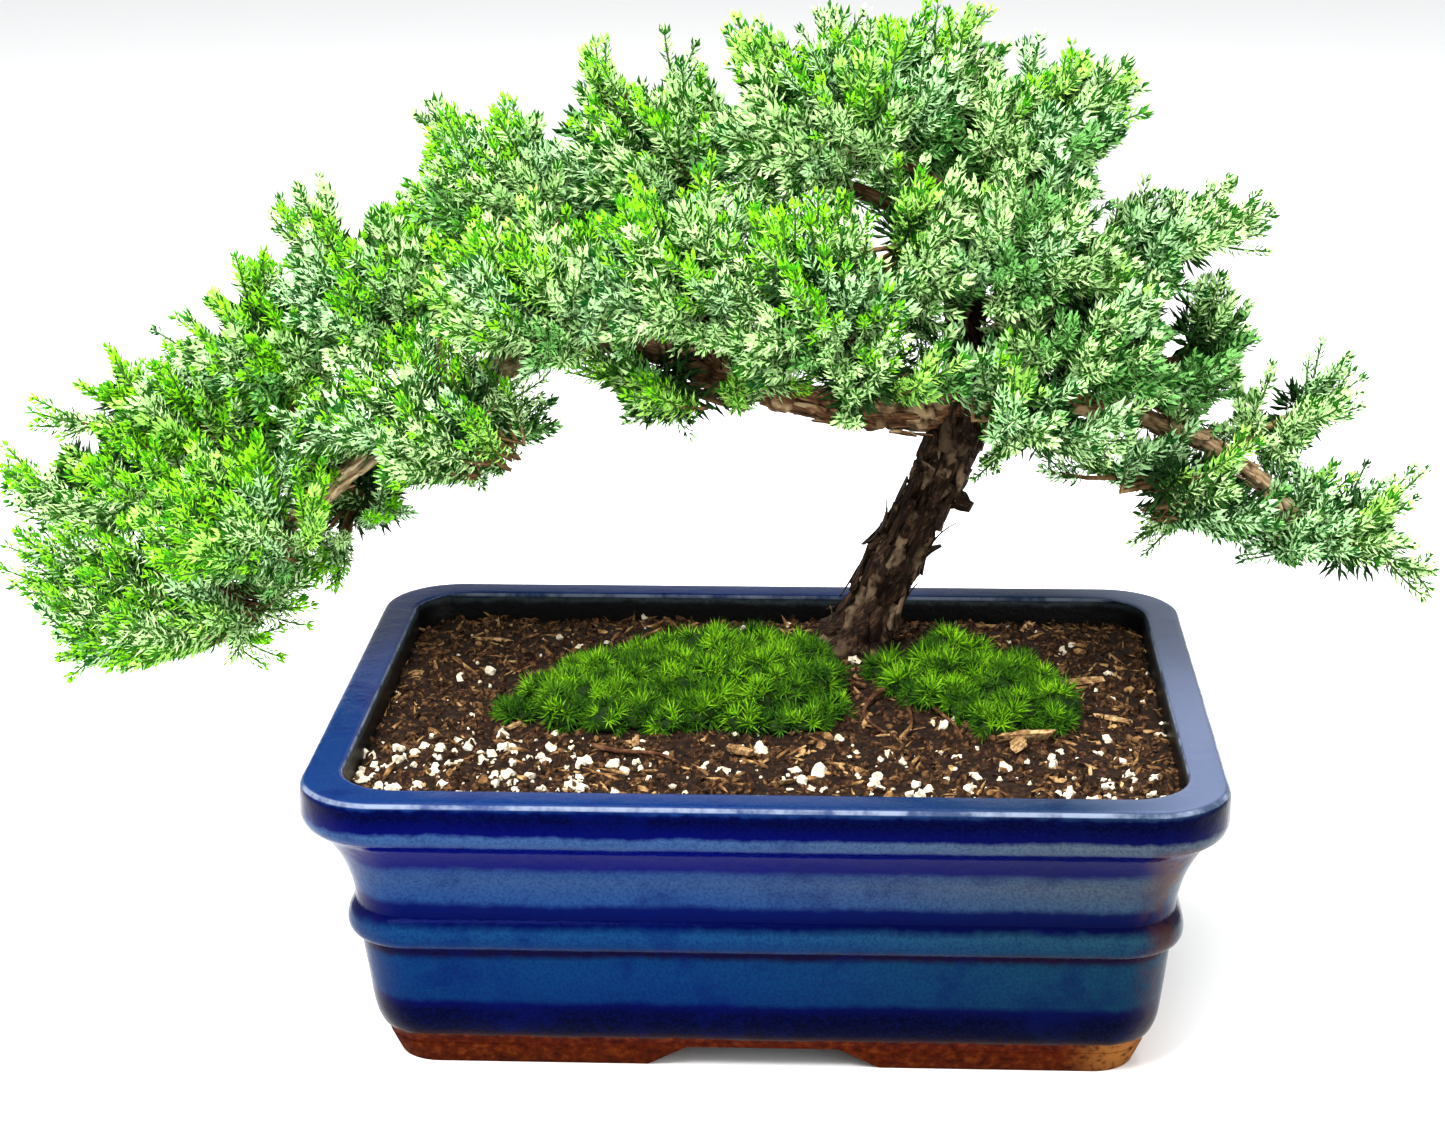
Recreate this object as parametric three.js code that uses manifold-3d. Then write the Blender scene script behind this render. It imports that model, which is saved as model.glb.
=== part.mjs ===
// A juniper bonsai in its blue glazed pot.
// Millimetres, +Z up. +X runs along the pot's long side, and -Y is the side it is shown from.
// The whole plant is laid out from the middle of the pot, on the floor that the pot stands on.

import * as THREE from 'three';
import { mergeVertices } from 'three/addons/utils/BufferGeometryUtils.js';
import Module from 'manifold-3d';

const wasm = await Module();
wasm.setup();

// Pot: an 8 by 6 inch rectangle with a lipped rim, a belt and a low foot with arches. The section
// of its wall gives heights above the floor, and insets from the rim's face.
const potLength = 203;
const potWidth = 152;
const potHeight = 70;
const rimWidth = 8.7;
const rimCorner = 18;
const innerCorner = 9;
const cornerShrink = 0.45;
const floorTop = 12;
const cornerSteps = 4;
const curveSteps = 3;
const innerArris = 1.2;
const potSection = {
  panel: [[15.4, 7.2], [14.2, 9], [13.1, 12.5], [12.4, 18], [10.9, 31.2]],
  belt: { out: 7.7, from: 31.2, swell: 37.6, inset: 10.2, top: 38.9 },
  neck: { inset: 10, from: 42, bendInset: 8.2, bend: 52, top: 58.4 },
  lip: { under: 3, bend: 0.5, bendHeight: 59.2, from: 62.5 },
  arris: { from: 67.6, inset: 2.4 },
  inside: [
    [19.2, floorTop], [16.8, 34], [15.4, 44], [11.8, 55], [9.4, 61.5],
    [rimWidth, potHeight - innerArris],
  ],
};
const footHeight = 5.5;
const footInset = 16.1;
const footLean = 2.2;
const footBand = 11;
const archAtTop = { front: 34, side: 24 };
const archAtFloor = { front: 52, side: 40 };
const drainHole = { radius: 6, fromMiddle: 45, sides: 16 };

// Soil and moss
const soilAtWall = 63;
const soilAtTrunk = 67.2;
const soilRings = [0.7, 0.35, 0];
const mossHeight = 9;
const mossFacets = { round: 10, over: 6 };
const clearance = 0.32;

// Moss: a low cushion at either side of the trunk, each of a few round humps. Each hump is the x
// and y of its middle and its half sizes along x and y.
const mossHumps = {
  moss_left: [[-38, 4, 23, 26], [-16, 15, 28, 34], [0, 12, 18, 27]],
  moss_right: [[41, 20, 15, 24], [55, 6, 17, 22]],
};

// Trunk: each row is x, y, z and the radius there, from the flat cut on the soil to the tip.
const trunkFoot = new THREE.Vector2(22, 38);
const trunkRows = [
  [22, 38, 67.5, 10.4],
  [23, 38, 70.5, 8.4],
  [25, 38, 77, 7.1],
  [30, 39, 89, 6.5],
  [37, 40, 104, 6.4],
  [42, 40, 117, 6.6],
  [45, 40, 127, 7.1],
  [46, 40, 136, 5.6],
  [45, 40, 148, 4.4],
  [46, 39, 162, 3.8],
  [48, 38, 178, 2.9],
  [46, 40, 192, 1.5],
];
const trunkSides = 10;
const rootLobes = 5;
const rootLobeDepth = 0.16;
const rootFlareTop = 76;

// The stub of a cut branch on the trunk's right side, fused to it.
const stub = { at: 0.36, tip: [49, 36, 106], radii: [2.8, 1.6], steps: 2, sides: 6 };

// Boughs: each leaves its parent at a share of the parent's length, passes its via points and
// ends at its tip, and tapers from its first radius to its last. A bough that bends round the
// wide gap over the pot is split at the bend, at shares of its length.
const boughs = [
  {
    name: 'left_bough', from: ['trunk', 0.5], radii: [4.9, 1.3], steps: 18,
    via: [[23, 39, 127], [6, 37, 131], [-14, 35, 137], [-31, 33, 144], [-46, 32, 145],
      [-65, 30, 139], [-85, 28, 127], [-104, 26, 113], [-119, 24, 101]],
    tip: [-138, 22, 88],
    splits: [0.38, 0.67], pieces: ['inner', 'middle', 'outer'],
  },
  {
    name: 'right_bough', from: ['trunk', 0.53], radii: [3.7, 1.4], steps: 9,
    via: [[64, 38, 131], [76, 36, 129], [90, 34, 126], [103, 32, 121], [114, 31, 114]],
    tip: [126, 31, 104],
    splits: [0.52], pieces: ['inner', 'outer'],
  },
  {
    name: 'upper_left_bough', from: ['trunk', 0.77], radii: [2.6, 1.4], steps: 5,
    via: [[25, 41, 178], [6, 42, 183]], tip: [-14, 44, 185],
  },
  {
    name: 'upper_right_bough', from: ['trunk', 0.67], radii: [2.3, 1.4], steps: 4,
    via: [[60, 41, 156]], tip: [79, 42, 166],
  },
  {
    name: 'front_bough', from: ['trunk', 0.55], radii: [2.7, 1.4], steps: 4,
    via: [[40, 22, 136]], tip: [27, 6, 142],
  },
  {
    name: 'back_bough', from: ['trunk', 0.6], radii: [2.5, 1.4], steps: 4,
    via: [[56, 56, 144]], tip: [72, 71, 141],
  },
  {
    name: 'apex_back_bough', from: ['trunk', 0.79], radii: [2, 1.2], steps: 3,
    via: [[45, 56, 168]], tip: [45, 71, 172],
  },
  {
    name: 'apex_left_bough', from: ['trunk', 0.86], radii: [1.9, 1.2], steps: 3,
    via: [[33, 35, 187]], tip: [19, 32, 192],
  },
  {
    name: 'rise_inner', from: ['left_bough', 0.29], radii: [2.2, 1.2], steps: 3,
    via: [[-19, 26, 150]], tip: [-24, 14, 159],
  },
  {
    name: 'rise_outer', from: ['left_bough', 0.56], radii: [2.1, 1.2], steps: 3,
    via: [[-70, 35, 155]], tip: [-71, 41, 172],
  },
  {
    name: 'rise_end', from: ['left_bough', 0.74], radii: [2, 1.2], steps: 3,
    via: [[-97, 32, 131]], tip: [-96, 36, 144],
  },
  {
    name: 'back_rise_inner', from: ['left_bough', 0.42], radii: [2.1, 1.2], steps: 3,
    via: [[-42, 51, 151]], tip: [-45, 70, 157],
  },
  {
    name: 'back_rise_outer', from: ['left_bough', 0.65], radii: [2, 1.2], steps: 3,
    via: [[-83, 48, 138]], tip: [-84, 65, 146],
  },
  {
    name: 'back_side_bough', from: ['left_bough', 0.76], radii: [1.9, 1.2], steps: 3,
    via: [[-112, 45, 115]], tip: [-122, 60, 112],
  },
  {
    name: 'left_side_bough', from: ['left_bough', 0.89], radii: [1.7, 1.1], steps: 3,
    via: [[-133, 27, 103]], tip: [-146, 29, 107],
  },
];
const boughSides = 6;
const collarSwell = 0.28;

// Masses of needles: each stem leaves a bough or the trunk at a share of its length, and the
// mass fills an ellipsoid with this middle and these half sizes, whose right end is raised by
// an angle in degrees.
const massRow = (name, bough, share, middle, half, rise = 0) => (
  { name: `mass_${name}`, from: [bough, share], middle, half, rise });
const masses = [
  massRow('low_left', 'left_bough', 1, [-150, 20, 86], [42, 25, 25], 14),
  massRow('left_tip', 'left_side_bough', 1, [-164, 30, 110], [33, 22, 16]),
  massRow('left_inner', 'left_bough', 0.87, [-128, 10, 107], [27, 22, 21]),
  massRow('left_rise', 'left_bough', 0.9, [-153, 40, 125], [30, 21, 16], -8),
  massRow('left_slope', 'left_bough', 0.82, [-126, 42, 144], [27, 25, 23], -20),
  massRow('left_back', 'back_side_bough', 1, [-130, 75, 114], [28, 25, 24], -10),
  massRow('left_shoulder', 'rise_end', 1, [-101, 38, 158], [28, 27, 28], -8),
  massRow('left_under', 'left_bough', 0.8, [-104, 42, 104], [27, 24, 20], 8),
  massRow('left_front', 'left_bough', 0.66, [-78, 10, 130], [36, 24, 24], -4),
  massRow('upper_left', 'rise_outer', 1, [-69, 44, 182], [27, 26, 24]),
  massRow('front_left', 'left_bough', 0.46, [-58, 8, 161], [28, 24, 26]),
  massRow('back_left', 'back_rise_outer', 1, [-86, 82, 155], [30, 25, 27]),
  massRow('crown_left', 'upper_left_bough', 1, [-33, 46, 190], [28, 27, 28]),
  massRow('front_middle', 'rise_inner', 1, [-22, 5, 168], [28, 22, 27]),
  massRow('under_middle', 'left_bough', 0.33, [-29, 20, 138], [36, 22, 18]),
  massRow('back_middle', 'back_rise_inner', 1, [-42, 86, 164], [30, 24, 28]),
  massRow('front', 'front_bough', 0.8, [9, -2, 164], [27, 21, 29]),
  massRow('apex_left', 'apex_left_bough', 1, [6, 32, 200], [28, 26, 27]),
  massRow('apex', 'trunk', 1, [37, 46, 202], [27, 27, 26]),
  massRow('apex_right', 'trunk', 0.9, [63, 38, 195], [26, 26, 25]),
  massRow('apex_front', 'trunk', 0.84, [29, 15, 172], [24, 20, 25]),
  massRow('right_shoulder', 'trunk', 0.82, [62, 16, 172], [25, 22, 23]),
  massRow('apex_back', 'apex_back_bough', 1, [46, 86, 181], [29, 22, 27]),
  massRow('upper_right', 'upper_right_bough', 1, [92, 43, 168], [28, 24, 15], 14),
  massRow('right_front', 'right_bough', 0.3, [77, 12, 151], [28, 22, 22]),
  massRow('right_rise', 'right_bough', 0.64, [99, 46, 142], [21, 24, 25]),
  massRow('front_right', 'right_bough', 0.22, [61, 4, 136], [30, 23, 20]),
  massRow('back_right', 'back_bough', 1, [86, 82, 142], [29, 24, 27]),
  massRow('right_side', 'right_bough', 0.74, [125, 45, 125], [22, 18, 13], 24),
  massRow('right_under', 'right_bough', 0.7, [99, 24, 114], [32, 22, 19], -6),
  massRow('right_tip', 'right_bough', 1, [137, 34, 99], [28, 20, 17], -14),
  massRow('front_low', 'front_bough', 1, [21, -2, 143], [28, 20, 15]),
];
const coreShare = 0.65;
const coreLump = 0.3;
const stemRadii = [1.5, 0.9];
const stemSides = 4;
const spraysPerMass = 12;
const highestSpray = 0.97;
const lowestSpray = -0.8;
const shortestReach = 0.86;
const leastReach = 0.7;
const driftUp = 0.26;
const driftOut = 0.14;
const goldenAngle = Math.PI * (3 - Math.sqrt(5));

// A spray of needles: shares of its length along, and of its half width across.
const sprayOutline = [[0.36, 1], [0.4, 0.46], [0.68, 0.78], [0.72, 0.3]];
const sprayHalfWidth = 0.26;
const sprayThickness = 0.14;

// Colours
const finishes = {
  glaze: { color: 0x1d3b78, roughness: 0.18, metalness: 0 },
  clay: { color: 0x8a4a22, roughness: 0.8, metalness: 0 },
  soil: { color: 0x3a281c, roughness: 0.95, metalness: 0 },
  moss: { color: 0x4f9a1e, roughness: 0.9, metalness: 0 },
  bark: { color: 0x5a3d2a, roughness: 0.9, metalness: 0 },
  needles: { color: 0x3f7a35, roughness: 0.7, metalness: 0 },
};

const point = ([x, y, z]) => new THREE.Vector3(x, y, z);

// A small seeded generator, so that the plant grows the same way each time.
function seeded(seed) {
  let state = seed;
  return () => {
    state = (state + 0x6d2b79f5) | 0;
    let mixed = Math.imul(state ^ (state >>> 15), state | 1);
    mixed ^= mixed + Math.imul(mixed ^ (mixed >>> 7), mixed | 61);
    return ((mixed ^ (mixed >>> 14)) >>> 0) / 2 ** 32;
  };
}

// Turns a closed three.js geometry into a solid that can be joined and cut. Faces that a point
// closes to nothing are dropped.
function solidOf(geometry) {
  const bare = geometry.clone();
  bare.deleteAttribute('normal');
  bare.deleteAttribute('uv');
  const merged = mergeVertices(bare, 1e-4);
  const faces = [];
  for (let i = 0; i < merged.index.count; i += 3) {
    const face = [0, 1, 2].map((corner) => merged.index.getX(i + corner));
    if (new Set(face).size === 3) faces.push(...face);
  }
  return new wasm.Manifold(new wasm.Mesh({
    numProp: 3,
    vertProperties: new Float32Array(merged.attributes.position.array),
    triVerts: new Uint32Array(faces),
  }));
}

function geometryOf(solid) {
  const mesh = solid.getMesh();
  const geometry = new THREE.BufferGeometry();
  geometry.setAttribute('position', new THREE.BufferAttribute(new Float32Array(mesh.vertProperties), 3));
  geometry.setIndex(new THREE.BufferAttribute(new Uint32Array(mesh.triVerts), 1));
  geometry.computeVertexNormals();
  return geometry;
}

function indexedGeometry(positions, faces) {
  const geometry = new THREE.BufferGeometry();
  geometry.setAttribute('position', new THREE.Float32BufferAttribute(positions, 3));
  geometry.setIndex(faces);
  return geometry;
}

// The largest single body of a solid: loose scraps are dropped and sealed hollows are filled.
function mainBody(solid) {
  return solid.decompose().reduce((best, piece) => (piece.volume() > best.volume() ? piece : best));
}

// A closed solid through rings of equally many points, its ends closed by fans.
function loft(rings) {
  const sides = rings[0].length;
  const positions = rings.flat().flatMap((p) => [p.x, p.y, p.z]);
  const faces = [];
  for (let i = 0; i + 1 < rings.length; i += 1) {
    for (let j = 0; j < sides; j += 1) {
      const a = i * sides + j;
      const b = i * sides + ((j + 1) % sides);
      faces.push(a, b, b + sides, a, b + sides, a + sides);
    }
  }
  [[rings[0], 0], [rings.at(-1), (rings.length - 1) * sides]].forEach(([ring, start], end) => {
    const middle = ring.reduce((sum, p) => sum.add(p), new THREE.Vector3()).divideScalar(sides);
    const hub = positions.length / 3;
    positions.push(middle.x, middle.y, middle.z);
    for (let j = 0; j < sides; j += 1) {
      const a = start + j;
      const b = start + ((j + 1) % sides);
      faces.push(hub, ...(end ? [a, b] : [b, a]));
    }
  });
  return indexedGeometry(positions, faces);
}

// One level ring of a rounded rectangle, seen from above against the clock.
function roundedRing(halfX, halfY, corner, z) {
  const ring = [];
  for (let quarter = 0; quarter < 4; quarter += 1) {
    for (let step = 0; step <= cornerSteps; step += 1) {
      const angle = (quarter + step / cornerSteps) * (Math.PI / 2);
      const sideX = quarter === 0 || quarter === 3 ? 1 : -1;
      const sideY = quarter < 2 ? 1 : -1;
      ring.push(new THREE.Vector3(
        sideX * (halfX - corner) + corner * Math.cos(angle),
        sideY * (halfY - corner) + corner * Math.sin(angle),
        z,
      ));
    }
  }
  return ring;
}

// A level ring of the pot's outside, drawn in from the rim's face by an inset.
function outerRing(inset, z) {
  return roundedRing(potLength / 2 - inset, potWidth / 2 - inset, rimCorner - cornerShrink * inset, z);
}

// A level ring of the pot's inside at a height, drawn in further by a gap.
function innerRing(z, gap = 0) {
  const above = Math.max(1, potSection.inside.findIndex(([, height]) => height >= z));
  const [[lowInset, low], [highInset, high]] = potSection.inside.slice(above - 1, above + 1);
  const inset = gap + THREE.MathUtils.mapLinear(z, low, high, lowInset, highInset);
  return roundedRing(potLength / 2 - inset, potWidth / 2 - inset, innerCorner, z);
}

// The outside of the pot from its underside to the top of the rim, as inset and height.
function potProfile() {
  const { panel, belt, neck, lip, arris } = potSection;
  const wall = new THREE.Path();
  wall.moveTo(footInset, footHeight);
  panel.forEach(([inset, height]) => wall.lineTo(inset, height));
  wall.bezierCurveTo(belt.out, belt.from, belt.out, belt.swell, belt.inset, belt.top);
  wall.lineTo(neck.inset, neck.from);
  wall.quadraticCurveTo(neck.bendInset, neck.bend, lip.under, neck.top);
  wall.quadraticCurveTo(lip.bend, lip.bendHeight, 0, lip.from);
  wall.lineTo(0, arris.from);
  wall.quadraticCurveTo(0, potHeight, arris.inset, potHeight);
  wall.lineTo(rimWidth - innerArris, potHeight);
  return wall.getPoints(curveSteps);
}

function makePot() {
  const outside = potProfile().map((p) => outerRing(p.x, p.y));
  const inside = potSection.inside.map(([, height]) => innerRing(height)).reverse();
  const bowl = solidOf(loft([...outside, ...inside]));
  const { radius, sides } = drainHole;
  const drain = new THREE.CylinderGeometry(radius, radius, 2 * floorTop, sides);
  drain.rotateX(Math.PI / 2);
  const left = solidOf(drain.clone().translate(-drainHole.fromMiddle, 0, footHeight));
  const right = solidOf(drain.clone().translate(drainHole.fromMiddle, 0, footHeight));
  return bowl.subtract(left).subtract(right);
}

// A bar with sloping ends that cuts the arch between two feet, right through the foot band.
function archCutter(atTop, atFloor, length) {
  const slope = (atFloor - atTop) / 2 / footHeight;
  const shape = new THREE.Shape();
  const below = -1;
  const above = footHeight + 1;
  const half = (z) => atFloor / 2 - slope * z;
  shape.moveTo(-half(below), below);
  shape.lineTo(half(below), below);
  shape.lineTo(half(above), above);
  shape.lineTo(-half(above), above);
  const bar = new THREE.ExtrudeGeometry(shape, { depth: length, bevelEnabled: false });
  bar.translate(0, 0, -length / 2);
  return bar.rotateX(Math.PI / 2);
}

// The foot band under the pot, cut by its four arches into one foot at each corner.
function makeFeet() {
  const band = solidOf(loft([outerRing(footInset + footLean, 0), outerRing(footInset, footHeight)]));
  const hollowInset = footInset + footBand;
  const hollow = solidOf(loft([outerRing(hollowInset, -1), outerRing(hollowInset, footHeight + 1)]));
  const frontArch = solidOf(archCutter(archAtTop.front, archAtFloor.front, 2 * potWidth));
  const sideBar = archCutter(archAtTop.side, archAtFloor.side, 2 * potLength);
  const sideArch = solidOf(sideBar.rotateZ(Math.PI / 2));
  const feet = band.subtract(hollow).subtract(frontArch).subtract(sideArch).decompose();
  return feet.map((foot) => {
    const box = foot.boundingBox();
    const depth = box.min[1] < 0 ? 'front' : 'back';
    const side = box.min[0] < 0 ? 'left' : 'right';
    return { name: `pot_foot_${depth}_${side}`, solid: foot };
  });
}

// The soil fills the pot and rises to a flat place under the trunk. Lifted, and grown out to the
// pot's wall, it cuts the undersides of the moss.
function makeSoil(lift = 0) {
  const gap = lift ? -clearance : clearance;
  const edge = innerRing(soilAtWall, gap);
  const bends = potSection.inside.slice(1).filter(([, height]) => height < soilAtWall);
  const flatRadius = trunkRows[0][3] * (1 + rootLobeDepth) + 1;
  const rings = [floorTop + clearance, ...bends.map(([, height]) => height)]
    .map((height) => innerRing(height, gap));
  rings.push(edge);
  soilRings.forEach((share) => {
    const rise = (soilAtTrunk - soilAtWall) * (1 - THREE.MathUtils.smoothstep(share, 0, 1));
    rings.push(edge.map((p) => {
      const flat = new THREE.Vector2(p.x, p.y).sub(trunkFoot);
      const reach = THREE.MathUtils.lerp(flatRadius, flat.length(), share);
      flat.setLength(reach).add(trunkFoot);
      return new THREE.Vector3(flat.x, flat.y, soilAtWall + rise);
    }));
  });
  return solidOf(loft(rings).translate(0, 0, lift));
}

function makeMoss(humps, keepOff) {
  const cushions = humps.map(([x, y, halfX, halfY]) => {
    const hump = new THREE.SphereGeometry(1, mossFacets.round, mossFacets.over);
    hump.rotateX(Math.PI / 2);
    return solidOf(hump.scale(halfX, halfY, mossHeight).translate(x, y, soilAtWall));
  });
  const joined = wasm.Manifold.union(cushions);
  return mainBody(keepOff.reduce((rest, other) => rest.subtract(other), joined));
}

// Rings of a limb along a smooth curve, from one share of its length to another.
function limbRings(limb, from, to, grow) {
  const steps = Math.max(2, Math.round(limb.steps * (to - from)));
  const rings = [];
  let across = null;
  for (let i = 0; i <= steps; i += 1) {
    const share = THREE.MathUtils.lerp(from, to, i / steps);
    const ahead = limb.curve.getTangentAt(share);
    const middle = limb.curve.getPointAt(share);
    if (i === 0) middle.addScaledVector(ahead, -grow);
    if (i === steps) middle.addScaledVector(ahead, grow);
    const start = across ?? new THREE.Vector3(0, 1, 0);
    across = start.clone().addScaledVector(ahead, -start.dot(ahead)).normalize();
    const over = ahead.clone().cross(across);
    const ring = [];
    for (let j = 0; j < limb.sides; j += 1) {
      const angle = (j / limb.sides) * 2 * Math.PI;
      const radius = limb.radiusAt(share) + grow;
      ring.push(middle.clone()
        .addScaledVector(across, radius * Math.cos(angle))
        .addScaledVector(over, radius * Math.sin(angle)));
    }
    rings.push(ring);
  }
  return rings;
}

// The trunk's rings are level at the soil and square to the trunk above it. Root lobes spread
// from its foot.
function trunkRings(curve, grow) {
  const last = trunkRows.length - 1;
  return trunkRows.map(([x, y, z, row], i) => {
    const ahead = i === 0 ? new THREE.Vector3(0, 0, 1) : curve.getTangent(i / last);
    const middle = new THREE.Vector3(x, y, z).addScaledVector(ahead, i === last ? grow : 0);
    const across = new THREE.Vector3(0, 1, 0).addScaledVector(ahead, -ahead.y).normalize();
    const over = ahead.clone().cross(across);
    const lobe = rootLobeDepth * Math.max(0, (rootFlareTop - z) / (rootFlareTop - trunkRows[0][2]));
    return Array.from({ length: trunkSides }, (unused, j) => {
      const angle = (j / trunkSides) * 2 * Math.PI;
      const radius = row * (1 + lobe * Math.cos(rootLobes * angle)) + grow;
      return middle.clone()
        .addScaledVector(across, radius * Math.cos(angle))
        .addScaledVector(over, radius * Math.sin(angle));
    });
  });
}

function makeTrunk() {
  const curve = new THREE.CatmullRomCurve3(trunkRows.map(point), false, 'catmullrom', 0.5);
  const branch = {
    ...stub,
    curve: new THREE.LineCurve3(curve.getPointAt(stub.at), point(stub.tip)),
    radiusAt: (share) => THREE.MathUtils.lerp(...stub.radii, share),
  };
  const grown = (grow) => solidOf(loft(trunkRings(curve, grow)))
    .add(solidOf(loft(limbRings(branch, 0, 1, grow))));
  return { name: 'trunk', curve, pieces: [{ name: 'trunk', solid: grown(0) }], sleeve: grown(clearance) };
}

// A limb that leaves its parent's middle line and is cut back to the parent's bark.
function makeLimb(limb, limbs, steps, sides, keepOff) {
  const parent = limbs.get(limb.from[0]);
  const root = parent.curve.getPointAt(limb.from[1]);
  const stops = [root, ...(limb.via ?? []).map(point), point(limb.tip)];
  const curve = new THREE.CatmullRomCurve3(stops, false, 'catmullrom', 0.5);
  const [first, last] = limb.radii;
  const radiusAt = (share) => THREE.MathUtils.lerp(first, last, share)
    * (1 + collarSwell * Math.max(0, 1 - 5 * share));
  const grown = { ...limb, curve, radiusAt, steps, sides };
  const gap = clearance / curve.getLength();
  const cuts = [0, ...(limb.splits ?? []), 1];
  grown.sleeve = solidOf(loft(limbRings(grown, 0, 1, clearance)));
  grown.pieces = cuts.slice(1).map((to, i) => {
    const from = cuts[i] + (i ? gap : 0);
    const whole = solidOf(loft(limbRings(grown, from, to, 0)));
    const name = limb.pieces ? `${limb.name}_${limb.pieces[i]}` : limb.name;
    const free = keepOff.reduce((rest, other) => rest.subtract(other), whole);
    return { name, solid: mainBody(free) };
  });
  return grown;
}

// The space of a mass: its own ellipsoid, parted from each neighbour by a plane between them.
function makeSpace(mass) {
  const middle = point(mass.middle);
  const half = point(mass.half);
  const turn = new THREE.Quaternion().setFromAxisAngle(
    new THREE.Vector3(0, 1, 0), THREE.MathUtils.degToRad(-mass.rise));
  const back = turn.clone().invert();
  const inUnits = (p) => p.clone().sub(middle).applyQuaternion(back).divide(half);
  const reachTowards = (direction) => 1 / direction.clone().applyQuaternion(back).divide(half).length();
  const outward = new THREE.Vector3(middle.x - trunkFoot.x, middle.y - trunkFoot.y, 0).normalize();
  const drift = outward.multiplyScalar(driftOut * half.x).setZ(driftUp * half.z);
  return { middle, half, turn, drift, inUnits, reachTowards, walls: [] };
}

function partSpaces(spaces) {
  spaces.forEach((one) => {
    spaces.forEach((other) => {
      if (one === other) return;
      const towards = other.middle.clone().sub(one.middle);
      const distance = towards.length();
      towards.normalize();
      const own = one.reachTowards(towards);
      const theirs = other.reachTowards(towards);
      if (own + theirs < distance) return;
      const offset = distance * own / (own + theirs) - clearance / 2;
      one.walls.push({ normal: towards, offset: one.middle.dot(towards) + offset });
    });
  });
}

const insideSpace = (space, p) => space.inUnits(p).length() <= 1
  && space.walls.every((wall) => p.dot(wall.normal) <= wall.offset);

// The dense middle of a mass: a lumpy ball, in shares of the mass's half sizes.
function makeCore(random) {
  const ball = new THREE.IcosahedronGeometry(1, 1);
  ball.deleteAttribute('normal');
  ball.deleteAttribute('uv');
  const core = mergeVertices(ball, 1e-4);
  const places = core.attributes.position;
  const corners = [];
  for (let i = 0; i < places.count; i += 1) {
    const share = coreShare * (1 + coreLump * (random() - 0.5));
    corners.push(new THREE.Vector3().fromBufferAttribute(places, i).multiplyScalar(share));
  }
  const faces = [];
  for (let i = 0; i < core.index.count; i += 3) {
    faces.push([0, 1, 2].map((corner) => core.index.getX(i + corner)));
  }
  return { corners, faces };
}

// From shares of the half sizes to the mass's place, with all that stands out of the core
// drawn upwards and away from the trunk.
function settle(space, p) {
  const out = Math.max(0, p.length() - coreShare) / (1 - coreShare);
  const place = p.clone().multiply(space.half).applyQuaternion(space.turn).add(space.middle);
  return place.addScaledVector(space.drift, out ** 1.5);
}

// The rings of one spray round its twig, which grows out of a face of the core: its needles
// are teeth on either edge, and a low ridge runs along its back.
function sprayRings(space, base, reach) {
  const foot = base.reduce((sum, p) => sum.add(p), new THREE.Vector3()).divideScalar(3);
  const ahead = foot.clone().normalize();
  const ridge = base[2].clone().sub(foot).addScaledVector(ahead, -base[2].clone().sub(foot).dot(ahead));
  ridge.normalize();
  const side = ahead.clone().cross(ridge);
  const rings = [base.map((p) => settle(space, p))];
  sprayOutline.forEach(([share, across]) => {
    const middle = ahead.clone().multiplyScalar(THREE.MathUtils.lerp(foot.length(), reach, share));
    const wide = across * sprayHalfWidth;
    const thick = (1 - share) * sprayThickness;
    rings.push([[wide, -thick / 2], [-wide, -thick / 2], [0, thick]].map(([sideways, over]) => (
      settle(space, middle.clone().addScaledVector(side, sideways).addScaledVector(ridge, over))
    )));
  });
  const tip = ahead.clone().multiplyScalar(reach);
  return { rings, tip: settle(space, tip) };
}

// The longest spray on a face that stays in the mass's own space.
function longestSpray(space, base, aim) {
  const fits = ({ rings, tip }) => [...rings.slice(1).flat(), tip].every((p) => insideSpace(space, p));
  for (let reach = aim; reach > leastReach; reach -= 0.03) {
    const spray = sprayRings(space, base, reach);
    if (fits(spray)) return spray;
  }
  return null;
}

function boxesMeet(a, b) {
  return [0, 1, 2].every((i) => a.min[i] < b.max[i] + clearance && b.min[i] < a.max[i] + clearance);
}

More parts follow.
